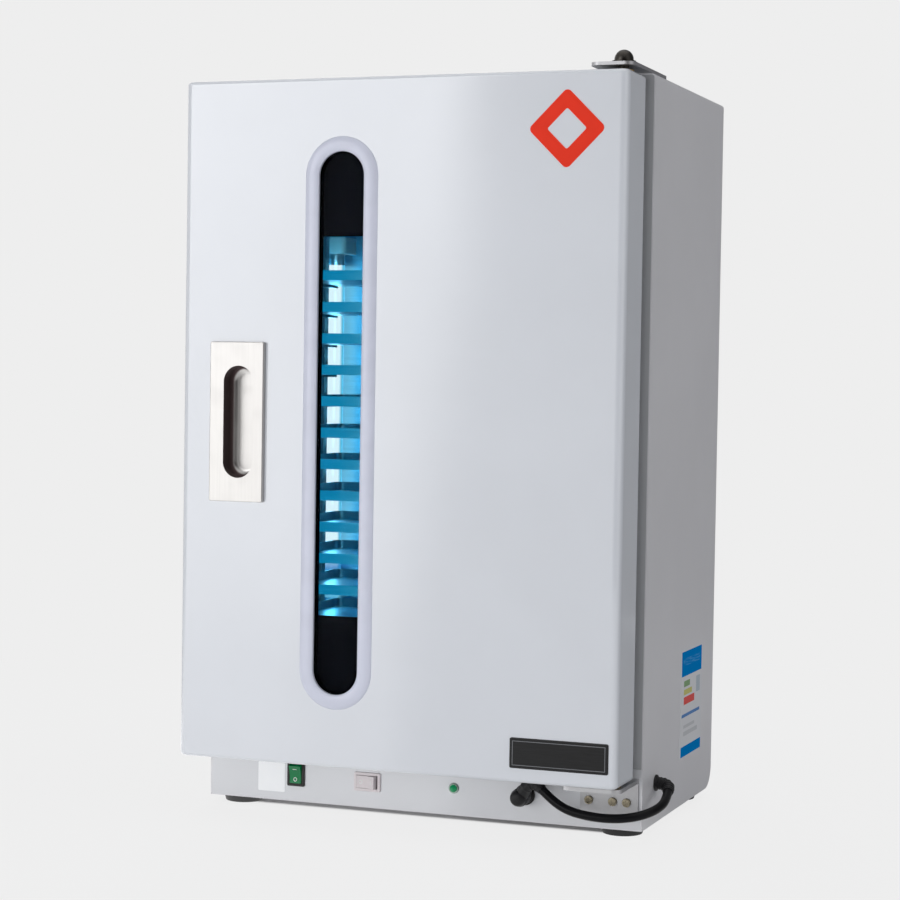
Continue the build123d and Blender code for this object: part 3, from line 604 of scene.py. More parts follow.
@dataclass(frozen=True)
class LitTube(Finish):
    """A discharge tube that is on: darker at its ends, with a painted white glare on its outer side
    that turns bluer on the side that faces inwards.
    """

    painted_glare_core: Colour
    rim: Colour
    end: Colour
    ends: Pair
    rim_between: Pair
    fade: float = 0.02
    strength: float = 1.0
    glass: Colour = (0.02, 0.04, 0.05)
    roughness: float = 0.1

    def shade(self, kit: ShaderKit) -> None:
        """Fade the light near the tube's ends, and fade the painted white glare towards its inner
        side.

        Args:
            kit: The material's empty tree.
        """
        across, _, height = kit.axes()
        low, high = self.ends
        painted_glare_fade = 1.0 - across.absolute().ramp(*self.rim_between)
        lit = height.ramp(low, low + self.fade) * (1.0 - height.ramp(high - self.fade, high))
        # Painted highlight: the outer side of the tube glows white, the inner side blue.
        body = kit.mix(painted_glare_fade, self.painted_glare_core, self.rim)
        kit.cover(
            {
                "Base Color": self.glass,
                "Roughness": self.roughness,
                "Emission Color": kit.mix(lit, self.end, body),
                "Emission Strength": self.strength,
            }
        )


@dataclass(frozen=True)
class Block:
    """A printed block: its shares of a film's height and width, and its ink."""

    rows: Pair
    columns: Pair
    ink: Colour

    def mask(self, across: Wire, up: Wire) -> Wire:
        """One inside the block, and nothing outside it."""
        return up.between(*self.rows) * across.between(*self.columns)


@dataclass(frozen=True)
class PrintedFilm(Finish):
    """The two stuck-on films: a plain white one in front, and a colour printed one on the side."""

    roughness: float = 0.35
    roughness_spread: float = 0.06
    roughness_scale: float = 200.0
    coat_roughness: float = 0.15
    coat_ior: float = 1.8
    ripple_scale: float = 120.0
    ripple_depth: float = 0.00002
    low: float = 0.044
    front: float = 0.032
    width: float = 0.068
    height: float = 0.088
    paper: Colour = linear(221, 222, 226)
    plain: tuple[Colour, Colour] = (linear(248, 250, 253), linear(253, 254, 255))
    plain_scale: float = 80.0
    streak_scale: Point = (0.0, 60.0, 900.0)
    streaks: Block = Block((0.85, 0.92), (0.1, 0.9), linear(70, 150, 214))
    blocks: tuple[Block, ...] = (
        Block((0.755, 0.985), (0.03, 0.97), linear(6, 130, 206)),
        Block((0.01, 0.105), (0.03, 0.97), linear(6, 130, 206)),
        Block((0.375, 0.405), (0.05, 0.9), linear(100, 140, 196)),
        Block((0.655, 0.71), (0.14, 0.42), linear(140, 170, 130)),
        Block((0.58, 0.63), (0.14, 0.52), linear(206, 202, 130)),
        Block((0.49, 0.56), (0.14, 0.64), linear(226, 100, 96)),
        Block((0.56, 0.71), (0.72, 0.90), linear(186, 196, 206)),
        Block((0.20, 0.24), (0.14, 0.80), linear(200, 202, 206)),
        Block((0.27, 0.30), (0.14, 0.66), linear(200, 202, 206)),
    )

    def shade(self, kit: ShaderKit) -> None:
        """Print plain blocks of colour, in the side film's own coordinates.

        Args:
            kit: The material's empty tree.
        """
        across_x, along_y, up_z = kit.axes()
        across = (along_y - self.front) / self.width
        up = (up_z - self.low) / self.height
        colour: Term = self.paper
        for block in self.blocks:
            colour = kit.mix(block.mask(across, up), colour, block.ink)
        streak = kit.noise(1.0, 2.0, 0.5, kit.stretched(self.streak_scale)).ramp(0.4, 0.6)
        colour = kit.mix(self.streaks.mask(across, up) * streak, colour, self.streaks.ink)
        plain = kit.mix(kit.noise(self.plain_scale, 2.0), *self.plain)
        in_front = across_x < 0.0
        uneven = kit.noise(self.roughness_scale, 2.0) * self.roughness_spread
        kit.cover(
            {
                "Base Color": kit.mix(in_front, colour, plain),
                "Specular IOR Level": 0.0,
                "Coat Weight": in_front,
                "Coat Roughness": self.coat_roughness,
                "Coat IOR": self.coat_ior,
                "Roughness": self.roughness + uneven,
                "Normal": kit.bump(kit.noise(self.ripple_scale, 2.0), self.ripple_depth),
            }
        )


@dataclass(frozen=True)
class NamePlateFinish(Finish):
    """Gloss black plate with a thin line inside its edge, and nothing printed on it."""

    middle: Pair = (0.1355, 0.0706)
    half: Pair = (0.0385, 0.0115)
    line_inset: float = 0.0022
    line_width: float = 0.0005
    line_colour: Colour = linear(120, 122, 126)
    blacks: tuple[Colour, Colour] = (linear(14, 14, 15), linear(26, 26, 28))
    grain: Point = (60.0, 60.0, 2600.0)
    grain_depth: float = 0.00001
    roughness: float = 0.26
    grain_roughness: float = 0.08
    specular: float = 0.3

    def shade(self, kit: ShaderKit) -> None:
        """Draw the line from the distance to the plate's edge.

        Args:
            kit: The material's empty tree.
        """
        across, _, height = kit.axes()
        to_side = self.half[0] - (across - self.middle[0]).absolute()
        to_end = self.half[1] - (height - self.middle[1]).absolute()
        line = to_side.least(to_end).between(self.line_inset, self.line_inset + self.line_width)
        grain = kit.noise(1.0, 4.0, 0.6, kit.stretched(self.grain))
        black = kit.mix(grain.ramp(*NOISE_RANGE), *self.blacks)
        kit.cover(
            {
                "Base Color": kit.mix(line, black, self.line_colour),
                "Roughness": self.roughness + grain * self.grain_roughness,
                "Specular IOR Level": self.specular,
                "Normal": kit.bump(grain, self.grain_depth),
            }
        )


class Finishes:
    """The finishes of this object, by what they cover.

    A moulded finish gives its colour, its roughness, its grain in cycles a metre and that grain's
    depth in metres, then its specular level and its glow.
    """

    cabinet = Paint("cabinet_paint", (0.74, 0.735, 0.765), roughness=0.36, coat=0.15)
    door = Paint(
        "door_paint",
        (0.715, 0.74, 0.795),
        roughness=0.4,
        coat=1.0,
        coat_roughness=0.08,
        coat_ior=1.8,
        specular=0.0,
    )
    inner = Paint("inner_paint", (0.74, 0.74, 0.76), roughness=0.32, coat=0.1)
    fascia = Paint(
        "fascia_paint",
        (0.70, 0.71, 0.74),
        roughness=0.4,
        coat=1.0,
        coat_roughness=0.16,
        coat_ior=1.8,
        specular=0.0,
    )
    frame = Paint("frame_paint", (0.46, 0.47, 0.49), roughness=0.3)
    trim = Moulded("trim_plastic", linear(213, 216, 232), 0.26, 500.0, 0.000004)
    glass = ClearGlass("window_glass", (0.74, 0.93, 0.97))
    well = Moulded("well_plastic", (0.0035, 0.0027, 0.0045), 0.8, 900.0, 0.00002, 0.0)
    seal = Moulded("seal_rubber", linear(64, 66, 70), 0.62, 700.0, 0.00003, 0.3)
    # The second colour is painted shade on the pull cup's walls.
    pull = PullSteel("pull_steel", (0.47, 0.46, 0.45), (0.14, 0.105, 0.105))
    # The chamber steel's blue colour is painted light from the tubes, not the steel's own grey.
    chamber = BrushedSteel("chamber_steel", (0.22, 0.60, 0.82), (12.0, 12.0, 900.0), 0.3)
    rack = BrushedSteel("rack_steel", (0.55, 0.60, 0.64), (30.0, 900.0, 30.0), 0.34)
    # The trays' teal colour is painted light from the tubes on plain steel.
    tray = BrushedSteel("tray_steel", (0.26, 0.60, 0.76), (10.0, 900.0, 900.0), 0.3)
    plated = PlatedSteel("hinge_steel", (0.50, 0.50, 0.515), 0.42, 0.93)
    dark = PlatedSteel("dark_steel", (0.055, 0.05, 0.045), 0.3)
    screw = PlatedSteel("screw_steel", (0.34, 0.30, 0.22), 0.25)
    brass = PlatedSteel("bush_brass", (0.72, 0.52, 0.24), 0.25)
    cap = PlatedSteel("cap_metal", (0.72, 0.72, 0.74), 0.3)
    holder = Moulded("holder_plastic", (0.80, 0.80, 0.78), 0.4)
    # The tube's white core colour is a painted glare on its outer side.
    tube = LitTube(
        "tube_glass",
        painted_glare_core=linear(243, 246, 247),
        rim=linear(70, 180, 215),
        end=(0.02, 0.2, 0.5),
        ends=(0.176, 0.466),
        rim_between=(0.1450, 0.1468),
    )
    catch = Moulded("catch_plastic", (0.03, 0.03, 0.032), 0.45)
    plunger = Moulded("plunger_plastic", (0.8, 0.8, 0.8), 0.3)
    switch = Moulded("switch_plastic", (0.012, 0.011, 0.010), 0.35, 1100.0, 0.00002, 0.25)
    green = Moulded("green_plastic", linear(4, 104, 58), 0.25, 600.0, 0.00001, 0.25, 0.25)
    pale = Moulded("pale_plastic", linear(230, 222, 224), 0.4, 600.0, 0.00001, 0.3)
    # The bezel's green tint is painted glow spilling from the LED.
    bezel = PlatedSteel("bezel_chrome", (0.30, 0.38, 0.34), 0.4)
    led = Moulded("led_plastic", linear(18, 122, 76), 0.2, 600.0, 0.0, 0.3, 0.4)
    plug = Moulded("plug_rubber", (0.011, 0.011, 0.012), 0.42, 900.0, 0.00004, 0.25)
    lead = Moulded("lead_rubber", (0.004, 0.004, 0.005), 0.3, 500.0, 0.00001, 0.12)
    foot = Moulded("foot_rubber", (0.012, 0.012, 0.012), 0.6)
    gland = Moulded("gland_nylon", (0.02, 0.02, 0.02), 0.5)
    plate = NamePlateFinish("plate_black")
    film = PrintedFilm("printed_film")
    mark = Moulded("mark_red", linear(240, 58, 36), 0.35, 700.0, 0.000004, 0.15)
    ballast = Paint("ballast_paint", (0.76, 0.78, 0.80), roughness=0.4, coat=0.0)
    wire = Moulded("wire_sleeve", (0.45, 0.03, 0.02), 0.35)
    ink = Moulded("switch_print", linear(236, 238, 236), 0.4, 600.0, 0.0)


def linked(name: str, data: bpy.types.ID) -> bpy.types.Object:
    """Make an object of its data and put it in the scene.

    Args:
        name: The object's name.
        data: Its mesh, curve, lamp or camera.

    Returns:
        The object.
    """
    made = bpy.data.objects.new(name, data)
    bpy.context.scene.collection.objects.link(made)
    return made


class MeshMaker:
    """Meshes that are made point by point."""

    @staticmethod
    def piece(
        name: str, mesh: bpy.types.Mesh, finish: Finish, crease: float = HARD_CREASE
    ) -> bpy.types.Object:
        """Give a mesh an object and a finish.

        Args:
            name: The piece's name.
            mesh: Its mesh.
            finish: Its finish.
            crease: The angle, in degrees, past which an edge stays sharp.

        Returns:
            The object.
        """
        mesh.name = name
        mesh.materials.clear()
        mesh.materials.append(finish.build())
        mesh.shade_smooth()
        mesh.set_sharp_from_angle(angle=math.radians(crease))
        return linked(name, mesh)

    @staticmethod
    def cleaned(mesh: bpy.types.Mesh) -> bpy.types.Mesh:
        """Merge a mesh's doubled points and turn its faces outwards.

        Args:
            mesh: The mesh, which is changed.

        Returns:
            The same mesh.
        """
        work = bmesh.new()
        work.from_mesh(mesh)
        bmesh.ops.remove_doubles(work, verts=work.verts, dist=MERGE_DISTANCE)
        bmesh.ops.recalc_face_normals(work, faces=work.faces)
        work.to_mesh(mesh)
        work.free()
        return mesh

    @staticmethod
    def joined(first: bpy.types.Mesh, second: bpy.types.Mesh) -> bpy.types.Mesh:
        """Add the second mesh's faces to the first, and remove the second.

        Args:
            first: The mesh that is kept.
            second: The mesh that is added to it.

        Returns:
            The first mesh.
        """
        work = bmesh.new()
        work.from_mesh(first)
        work.from_mesh(second)
        work.to_mesh(first)
        work.free()
        bpy.data.meshes.remove(second)
        return first

    @classmethod
    def rings(cls, loops: Sequence[Sequence[Vector]], closed: bool = False) -> bpy.types.Mesh:
        """Join equal loops of points into a skin.

        Args:
            loops: The loops, in metres, in their order along the skin.
            closed: Whether the last loop joins the first. Otherwise both ends get a cap.

        Returns:
            The mesh, with its faces turned outwards.
        """
        count = len(loops[0])
        points = [tuple(point) for loop in loops for point in loop]
        faces: list[tuple[int, ...]] = []
        steps = len(loops) if closed else len(loops) - 1
        for ring in range(steps):
            here, there = ring * count, (ring + 1) % len(loops) * count
            for side in range(count):
                after = (side + 1) % count
                faces.append((here + side, here + after, there + after, there + side))
        if not closed:
            last = (len(loops) - 1) * count
            faces.append(tuple(range(count)))
            faces.append(tuple(range(last, last + count)))
        mesh = bpy.data.meshes.new("rings")
        mesh.from_pydata(points, [], faces)
        return cls.cleaned(mesh)

    @staticmethod
    def circle(
        middle: Vector, side: Vector, other: Vector, radius: float, points: int
    ) -> list[Vector]:
        """The points of a circle that two directions at right angles span.

        Args:
            middle: Its middle, in metres.
            side: The direction of its first point.
            other: The direction a quarter turn further on.
            radius: Its radius, in metres.
            points: How many points it has.

        Returns:
            The points in order.
        """
        turns = (turn * math.tau / points for turn in range(points))
        return [
            middle + side * (radius * math.cos(turn)) + other * (radius * math.sin(turn))
            for turn in turns
        ]

    @classmethod
    def tube(
        cls, path: Sequence[Vector], radius: Callable[[float], float], sides: int = 28
    ) -> bpy.types.Mesh:
        """A round skin along a path.

        Args:
            path: The middle line, in metres.
            radius: The radius, in metres, at each share of the length.
            sides: Points around the tube.

        Returns:
            The mesh, with both ends closed.
        """
        lengths = [0.0]
        for before, after in zip(path, path[1:]):
            lengths.append(lengths[-1] + (after - before).length)
        side = (path[1] - path[0]).normalized().orthogonal().normalized()
        loops = []
        for index, middle in enumerate(path):
            ahead = path[min(index + 1, len(path) - 1)]
            behind = path[max(index - 1, 0)]
            heading = (ahead - behind).normalized()
            side = (side - heading * side.dot(heading)).normalized()
            reach = radius(lengths[index] / lengths[-1])
            loops.append(cls.circle(middle, side, heading.cross(side), reach, sides))
        return cls.rings(loops)

    @classmethod
    def turned(
        cls, profile: Sequence[Pair], place: Vector, axis: Point, sides: int = 48
    ) -> bpy.types.Mesh:
        """A turned shape.

        Args:
            profile: Pairs of a radius and a height along the axis, in millimetres.
            place: Where the height is nothing, in metres.
            axis: The direction of the axis.
            sides: Points around the shape.

        Returns:
            The mesh, closed at its ends.
        """
        heading = Vector(axis).normalized()
        side = heading.orthogonal().normalized()
        other = heading.cross(side)
        loops = []
        for radius, height in profile:
            middle = place + heading * (height * MM)
            loops.append(cls.circle(middle, side, other, max(radius * MM, LEAST_RADIUS), sides))
        return cls.rings(loops)

    @staticmethod
    def smooth_line(points: Sequence[Point], steps: int) -> bpy.types.Object:
        """A smooth open curve that a few points in millimetres guide.

        Args:
            points: The guiding points.
            steps: The steps between two of them.

        Returns:
            The curve.
        """
        curve = bpy.data.curves.new("line", "CURVE")
        curve.dimensions = "3D"
        curve.resolution_u = steps
        spline = curve.splines.new("NURBS")
        spline.points.add(len(points) - 1)
        for target, point in zip(spline.points, points):
            target.co = (*metres(point), 1.0)
        spline.order_u = 3
        spline.use_endpoint_u = True
        return linked("line", curve)

    @classmethod
    def line_points(cls, points: Sequence[Point], steps: int) -> list[Vector]:
        """The points along a smooth open curve, in metres.

        Args:
            points: The guiding points, in millimetres.
            steps: The steps between two of them.

        Returns:
            The points in order.
        """
        line = cls.smooth_line(points, steps)
        graph = bpy.context.evaluated_depsgraph_get()
        mesh = bpy.data.meshes.new_from_object(line.evaluated_get(graph))
        found = [vertex.co.copy() for vertex in mesh.vertices]
        bpy.data.meshes.remove(mesh)
        bpy.data.objects.remove(line)
        return found


class Kind(Enum):
    """The kinds of input that a geometry tree takes."""

    NUMBER = "NodeSocketFloat"
    COUNT = "NodeSocketInt"
    VECTOR = "NodeSocketVector"
    MATERIAL = "NodeSocketMaterial"


class GeometryKit:
    """A geometry tree with named inputs, which ends as real faces with a material."""

    def __init__(self, name: str, inputs: dict[str, Kind]) -> None:
        """Make the tree and its inputs.

        Args:
            name: The tree's name.
            inputs: The kind of each named input.
        """
        self.tree = bpy.data.node_groups.new(name, "GeometryNodeTree")
        interface = self.tree.interface
        interface.new_socket(name="Shape", in_out="INPUT", socket_type="NodeSocketGeometry")
        self.keys: dict[str, str] = {}
        for label, kind in {**inputs, "Material": Kind.MATERIAL}.items():
            made = interface.new_socket(name=label, in_out="INPUT", socket_type=kind.value)
            self.keys[label] = made.identifier
        interface.new_socket(name="Shape", in_out="OUTPUT", socket_type="NodeSocketGeometry")
        self.start = self.tree.nodes.new("NodeGroupInput")
        self.end = self.tree.nodes.new("NodeGroupOutput")

    def given(self, label: str) -> bpy.types.NodeSocket:
        """The socket of a named input."""
        return self.start.outputs[label]

    def node(
        self,
        kind: str,
        settings: dict[str, object] | None = None,
        sockets: dict[int | str, object] | None = None,
        out: int | str = 0,
    ) -> bpy.types.NodeSocket:
        """Add a node.

        Args:
            kind: The node's type.
            settings: Its properties.
            sockets: A value or a socket for each input.
            out: The output to return.

        Returns:
            The chosen output.
        """
        made = self.tree.nodes.new(kind)
        for key, value in (settings or {}).items():
            setattr(made, key, value)
        for key, value in (sockets or {}).items():
            if isinstance(value, bpy.types.NodeSocket):
                self.tree.links.new(value, made.inputs[key])
            else:
                made.inputs[key].default_value = value
        return made.outputs[out]

    def finish(self, shape: bpy.types.NodeSocket) -> None:
        """Make the instances real and give them the material.

        Args:
            shape: The geometry with its instances.
        """
        real = self.node("GeometryNodeRealizeInstances", {}, {"Geometry": shape})
        dressed = self.node(
            "GeometryNodeSetMaterial", {}, {"Geometry": real, "Material": self.given("Material")}
        )
        self.tree.links.new(dressed, self.end.inputs[0])

    def grow(
        self,
        name: str,
        seed: bpy.types.Mesh,
        values: dict[str, object],
        finish: Finish,
        crease: float = HARD_CREASE,
    ) -> bpy.types.Object:
        """Run the tree on a mesh.

        Args:
            name: The piece's name.
            seed: The mesh that goes in.
            values: A value for each named input.
            finish: The piece's finish.
            crease: The angle, in degrees, past which an edge stays sharp.

        Returns:
            The piece, as a plain mesh without a modifier.
        """
        holder = linked(f"{name}_seed", seed)
        modifier = holder.modifiers.new("grow", "NODES")
        modifier.node_group = self.tree
        for label, value in values.items():
            modifier[self.keys[label]] = value
        modifier[self.keys["Material"]] = finish.build()
        graph = bpy.context.evaluated_depsgraph_get()
        mesh = bpy.data.meshes.new_from_object(holder.evaluated_get(graph))
        holder.modifiers.clear()
        bpy.data.objects.remove(holder)
        return MeshMaker.piece(name, MeshMaker.cleaned(mesh), finish, crease)


class Layouts:
    """The geometry trees that this object's repeats and mouldings share."""

    def __init__(self) -> None:
        """Build the three trees."""
        self.grid = self._grid()
        self.round = self._round()
        self.moulding = self._moulding()

    @staticmethod
    def _grid() -> GeometryKit:
        """Repeat a shape in rows and columns.

        Returns:
            The tree.
        """
        kit = GeometryKit(
            "rows_and_columns",
            {
                "Columns": Kind.COUNT,
                "Rows": Kind.COUNT,
                "Column step": Kind.VECTOR,
                "Row step": Kind.VECTOR,
            },
        )
        shape = kit.given("Shape")
        for count, step in (("Columns", "Column step"), ("Rows", "Row step")):
            line = kit.node(
                "GeometryNodeMeshLine", {}, {"Count": kit.given(count), "Offset": kit.given(step)}
            )
            shape = kit.node(
                "GeometryNodeInstanceOnPoints", {}, {"Points": line, "Instance": shape}
            )
        kit.finish(shape)
        return kit

    @staticmethod
    def _round() -> GeometryKit:
        """Repeat a shape evenly round an axis through a place.

        Returns:
            The tree.
        """
        kit = GeometryKit(
            "round_an_axis", {"Count": Kind.COUNT, "Axis": Kind.VECTOR, "Place": Kind.VECTOR}
        )
        points = kit.node(
            "GeometryNodeMeshLine", {}, {"Count": kit.given("Count"), "Offset": (0.0, 0.0, 0.0)}
        )
        step = kit.node(
            "ShaderNodeMath", {"operation": "DIVIDE"}, {0: math.tau, 1: kit.given("Count")}
        )
        angle = kit.node(
            "ShaderNodeMath",
            {"operation": "MULTIPLY"},
            {0: kit.node("GeometryNodeInputIndex"), 1: step},
        )
        turn = kit.node(
            "FunctionNodeAxisAngleToRotation", {}, {"Axis": kit.given("Axis"), "Angle": angle}
        )
        shapes = kit.node(
            "GeometryNodeInstanceOnPoints",
            {},
            {"Points": points, "Instance": kit.given("Shape"), "Rotation": turn},
        )
        moved = kit.node(
            "GeometryNodeTransform", {}, {"Geometry": shapes, "Translation": kit.given("Place")}
        )
        kit.finish(moved)
        return kit

    @staticmethod
    def _moulding() -> GeometryKit:
        """Sweep a profile round an upright rectangle with rounded corners.

        Returns:
            The tree.
        """
        kit = GeometryKit(
            "moulding",
            {
                "Width": Kind.NUMBER,
                "Height": Kind.NUMBER,
                "Corner": Kind.NUMBER,
                "Corner points": Kind.COUNT,
                "Place": Kind.VECTOR,
            },
        )
        path = kit.node(
            "GeometryNodeCurvePrimitiveQuadrilateral",
            {"mode": "RECTANGLE"},
            {"Width": kit.given("Width"), "Height": kit.given("Height")},
        )
        rounded = kit.node(
            "GeometryNodeFilletCurve",
            {"mode": "POLY"},
            {
                "Curve": path,
                "Count": kit.given("Corner points"),
                "Radius": kit.given("Corner"),
                "Limit Radius": True,
            },
        )
        profile = kit.node("GeometryNodeMeshToCurve", {}, {"Mesh": kit.given("Shape")})
        skin = kit.node("GeometryNodeCurveToMesh", {}, {"Curve": rounded, "Profile Curve": profile})
        upright = kit.node(
            "GeometryNodeTransform",
            {},
            {
                "Geometry": skin,
                "Rotation": (math.pi / 2, 0.0, 0.0),
                "Translation": kit.given("Place"),
            },
        )
        kit.finish(upright)
        return kit


def profile_mesh(outline: Sequence[Pair]) -> bpy.types.Mesh:
    """A closed outline as edges: across the moulding and out of it, in millimetres.

    Args:
        outline: The points in order.

    Returns:
        A mesh of the edges alone.
    """
    mesh = bpy.data.meshes.new("profile")
    points = [(across * MM, out * MM, 0.0) for across, out in outline]
    edges = [(index, (index + 1) % len(points)) for index in range(len(points))]
    mesh.from_pydata(points, edges, [])
    return mesh


def dress(finish: Finish, *nodes: str) -> None:
    """Give CAD nodes their finish.

    Args:
        finish: The finish.
        *nodes: The nodes' names.
    """
    material = finish.build()
    for node in nodes:
        piece = frame["nodes"][node]
        for slot in piece.material_slots:
            slot.material = material
        if not piece.material_slots:
            piece.data.materials.append(material)


@dataclass(frozen=True)
class Softbox:
    """A rectangular soft light, with its places and sizes in metres and its power in watts."""

    name: str
    place: Point
    aim: Point
    size: Pair
    power: float
    mirrored: bool = False

    def build(self) -> None:
        """Hang the light, which gloss shows only where it is mirrored."""
        data = bpy.data.lights.new(self.name, "AREA")
        data.shape = "RECTANGLE"
        data.size, data.size_y = self.size
        data.energy = self.power
        lamp = linked(self.name, data)
        heading = Vector(self.aim) - Vector(self.place)
        turn = heading.to_track_quat("-Z", "Y").to_matrix().to_4x4()
        lamp.matrix_world = Matrix.Translation(self.place) @ turn
        lamp.visible_glossy = self.mirrored


@dataclass(frozen=True)
class RoomWindow:
    """The large soft window at the front left that gloss shows.

    Its light is laid out on the door's plane, in metres across it and up from the floor. Each pair
    is where a part of that light starts to change and where it is wholly changed.
    """

    light: float = 3.35
    origin: Point = (0.645, 0.358, 1.608)
    door_face: float = 0.142
    horizon: Pair = (0.02, 0.1)
    edge: Pair = (-0.020, 0.034)
    lean: float = 0.044
    lean_heights: Pair = (0.10, 0.46)
    far_edge: Pair = (-1.1, -0.6)
    top_edge: Pair = (0.85, 1.3)
    foot_light: float = 0.36
    step_light: float = 0.17
    step_heights: Pair = (0.115, 0.185)
    slope_light: float = 1.18
    slope_from: float = 0.17
    glint_light: float = 0.35
    glint_across: Pair = (0.0, 0.035)
    glint_heights: Pair = (0.42, 0.57)
    dimmed: float = 0.2
    dimmed_across: Pair = (-0.2, 0.0)

    def brightness(self, across: Wire, height: Wire) -> Wire:
        """The window's own brightness.

        Args:
            across: Where the reflection falls on the door, from left to right, in metres.
            height: How high it falls on the door, in metres.

        Returns:
            One where the window is brightest, fading downwards and past its right edge.
        """
        edge = across - height.ramp(*self.lean_heights) * self.lean
        inside = 1.0 - edge.ramp(*self.edge)
        inside = inside * across.ramp(*self.far_edge) * (1.0 - height.ramp(*self.top_edge))
        step = height.ramp(*self.step_heights) * self.step_light
        slope = (height - self.slope_from).most(0.0) * self.slope_light
        glint = across.ramp(*self.glint_across) * height.ramp(*self.glint_heights)
        dimmed = across.ramp(*self.dimmed_across) * self.dimmed
        return inside * (self.foot_light + step + slope) * (1.0 - dimmed + glint * self.glint_light)

    def in_room(self, east: Wire, north: Wire, up: Wire) -> Wire:
        """The strength of the room's light in a direction.

        Args:
            east: The direction's part to the right.
            north: Its part to the rear.
            up: Its part upwards.

        Returns:
            The strength, which is one away from the window.
        """
        south = 0.0 - north
        ahead = south.most(self.horizon[0])
        origin_x, origin_z, reach = self.origin
        window = self.brightness(east / ahead * reach + origin_x, up / ahead * reach + origin_z)
        return 1.0 + window * south.ramp(*self.horizon) * self.light

    def on_floor(self, east: Wire, north: Wire) -> Wire:
        """The strength of the light that gloss shows at a place on the floor.

        Args:
            east: The place's distance to the right, in metres.
            north: Its distance to the rear.

        Returns:
            The strength, which is one away from the window.
        """
        origin_x, origin_z, reach = self.origin
        slope = reach / (reach - self.door_face - north)
        window = self.brightness((east - origin_x) * slope + origin_x, origin_z - slope * origin_z)
        return 1.0 + window * self.light


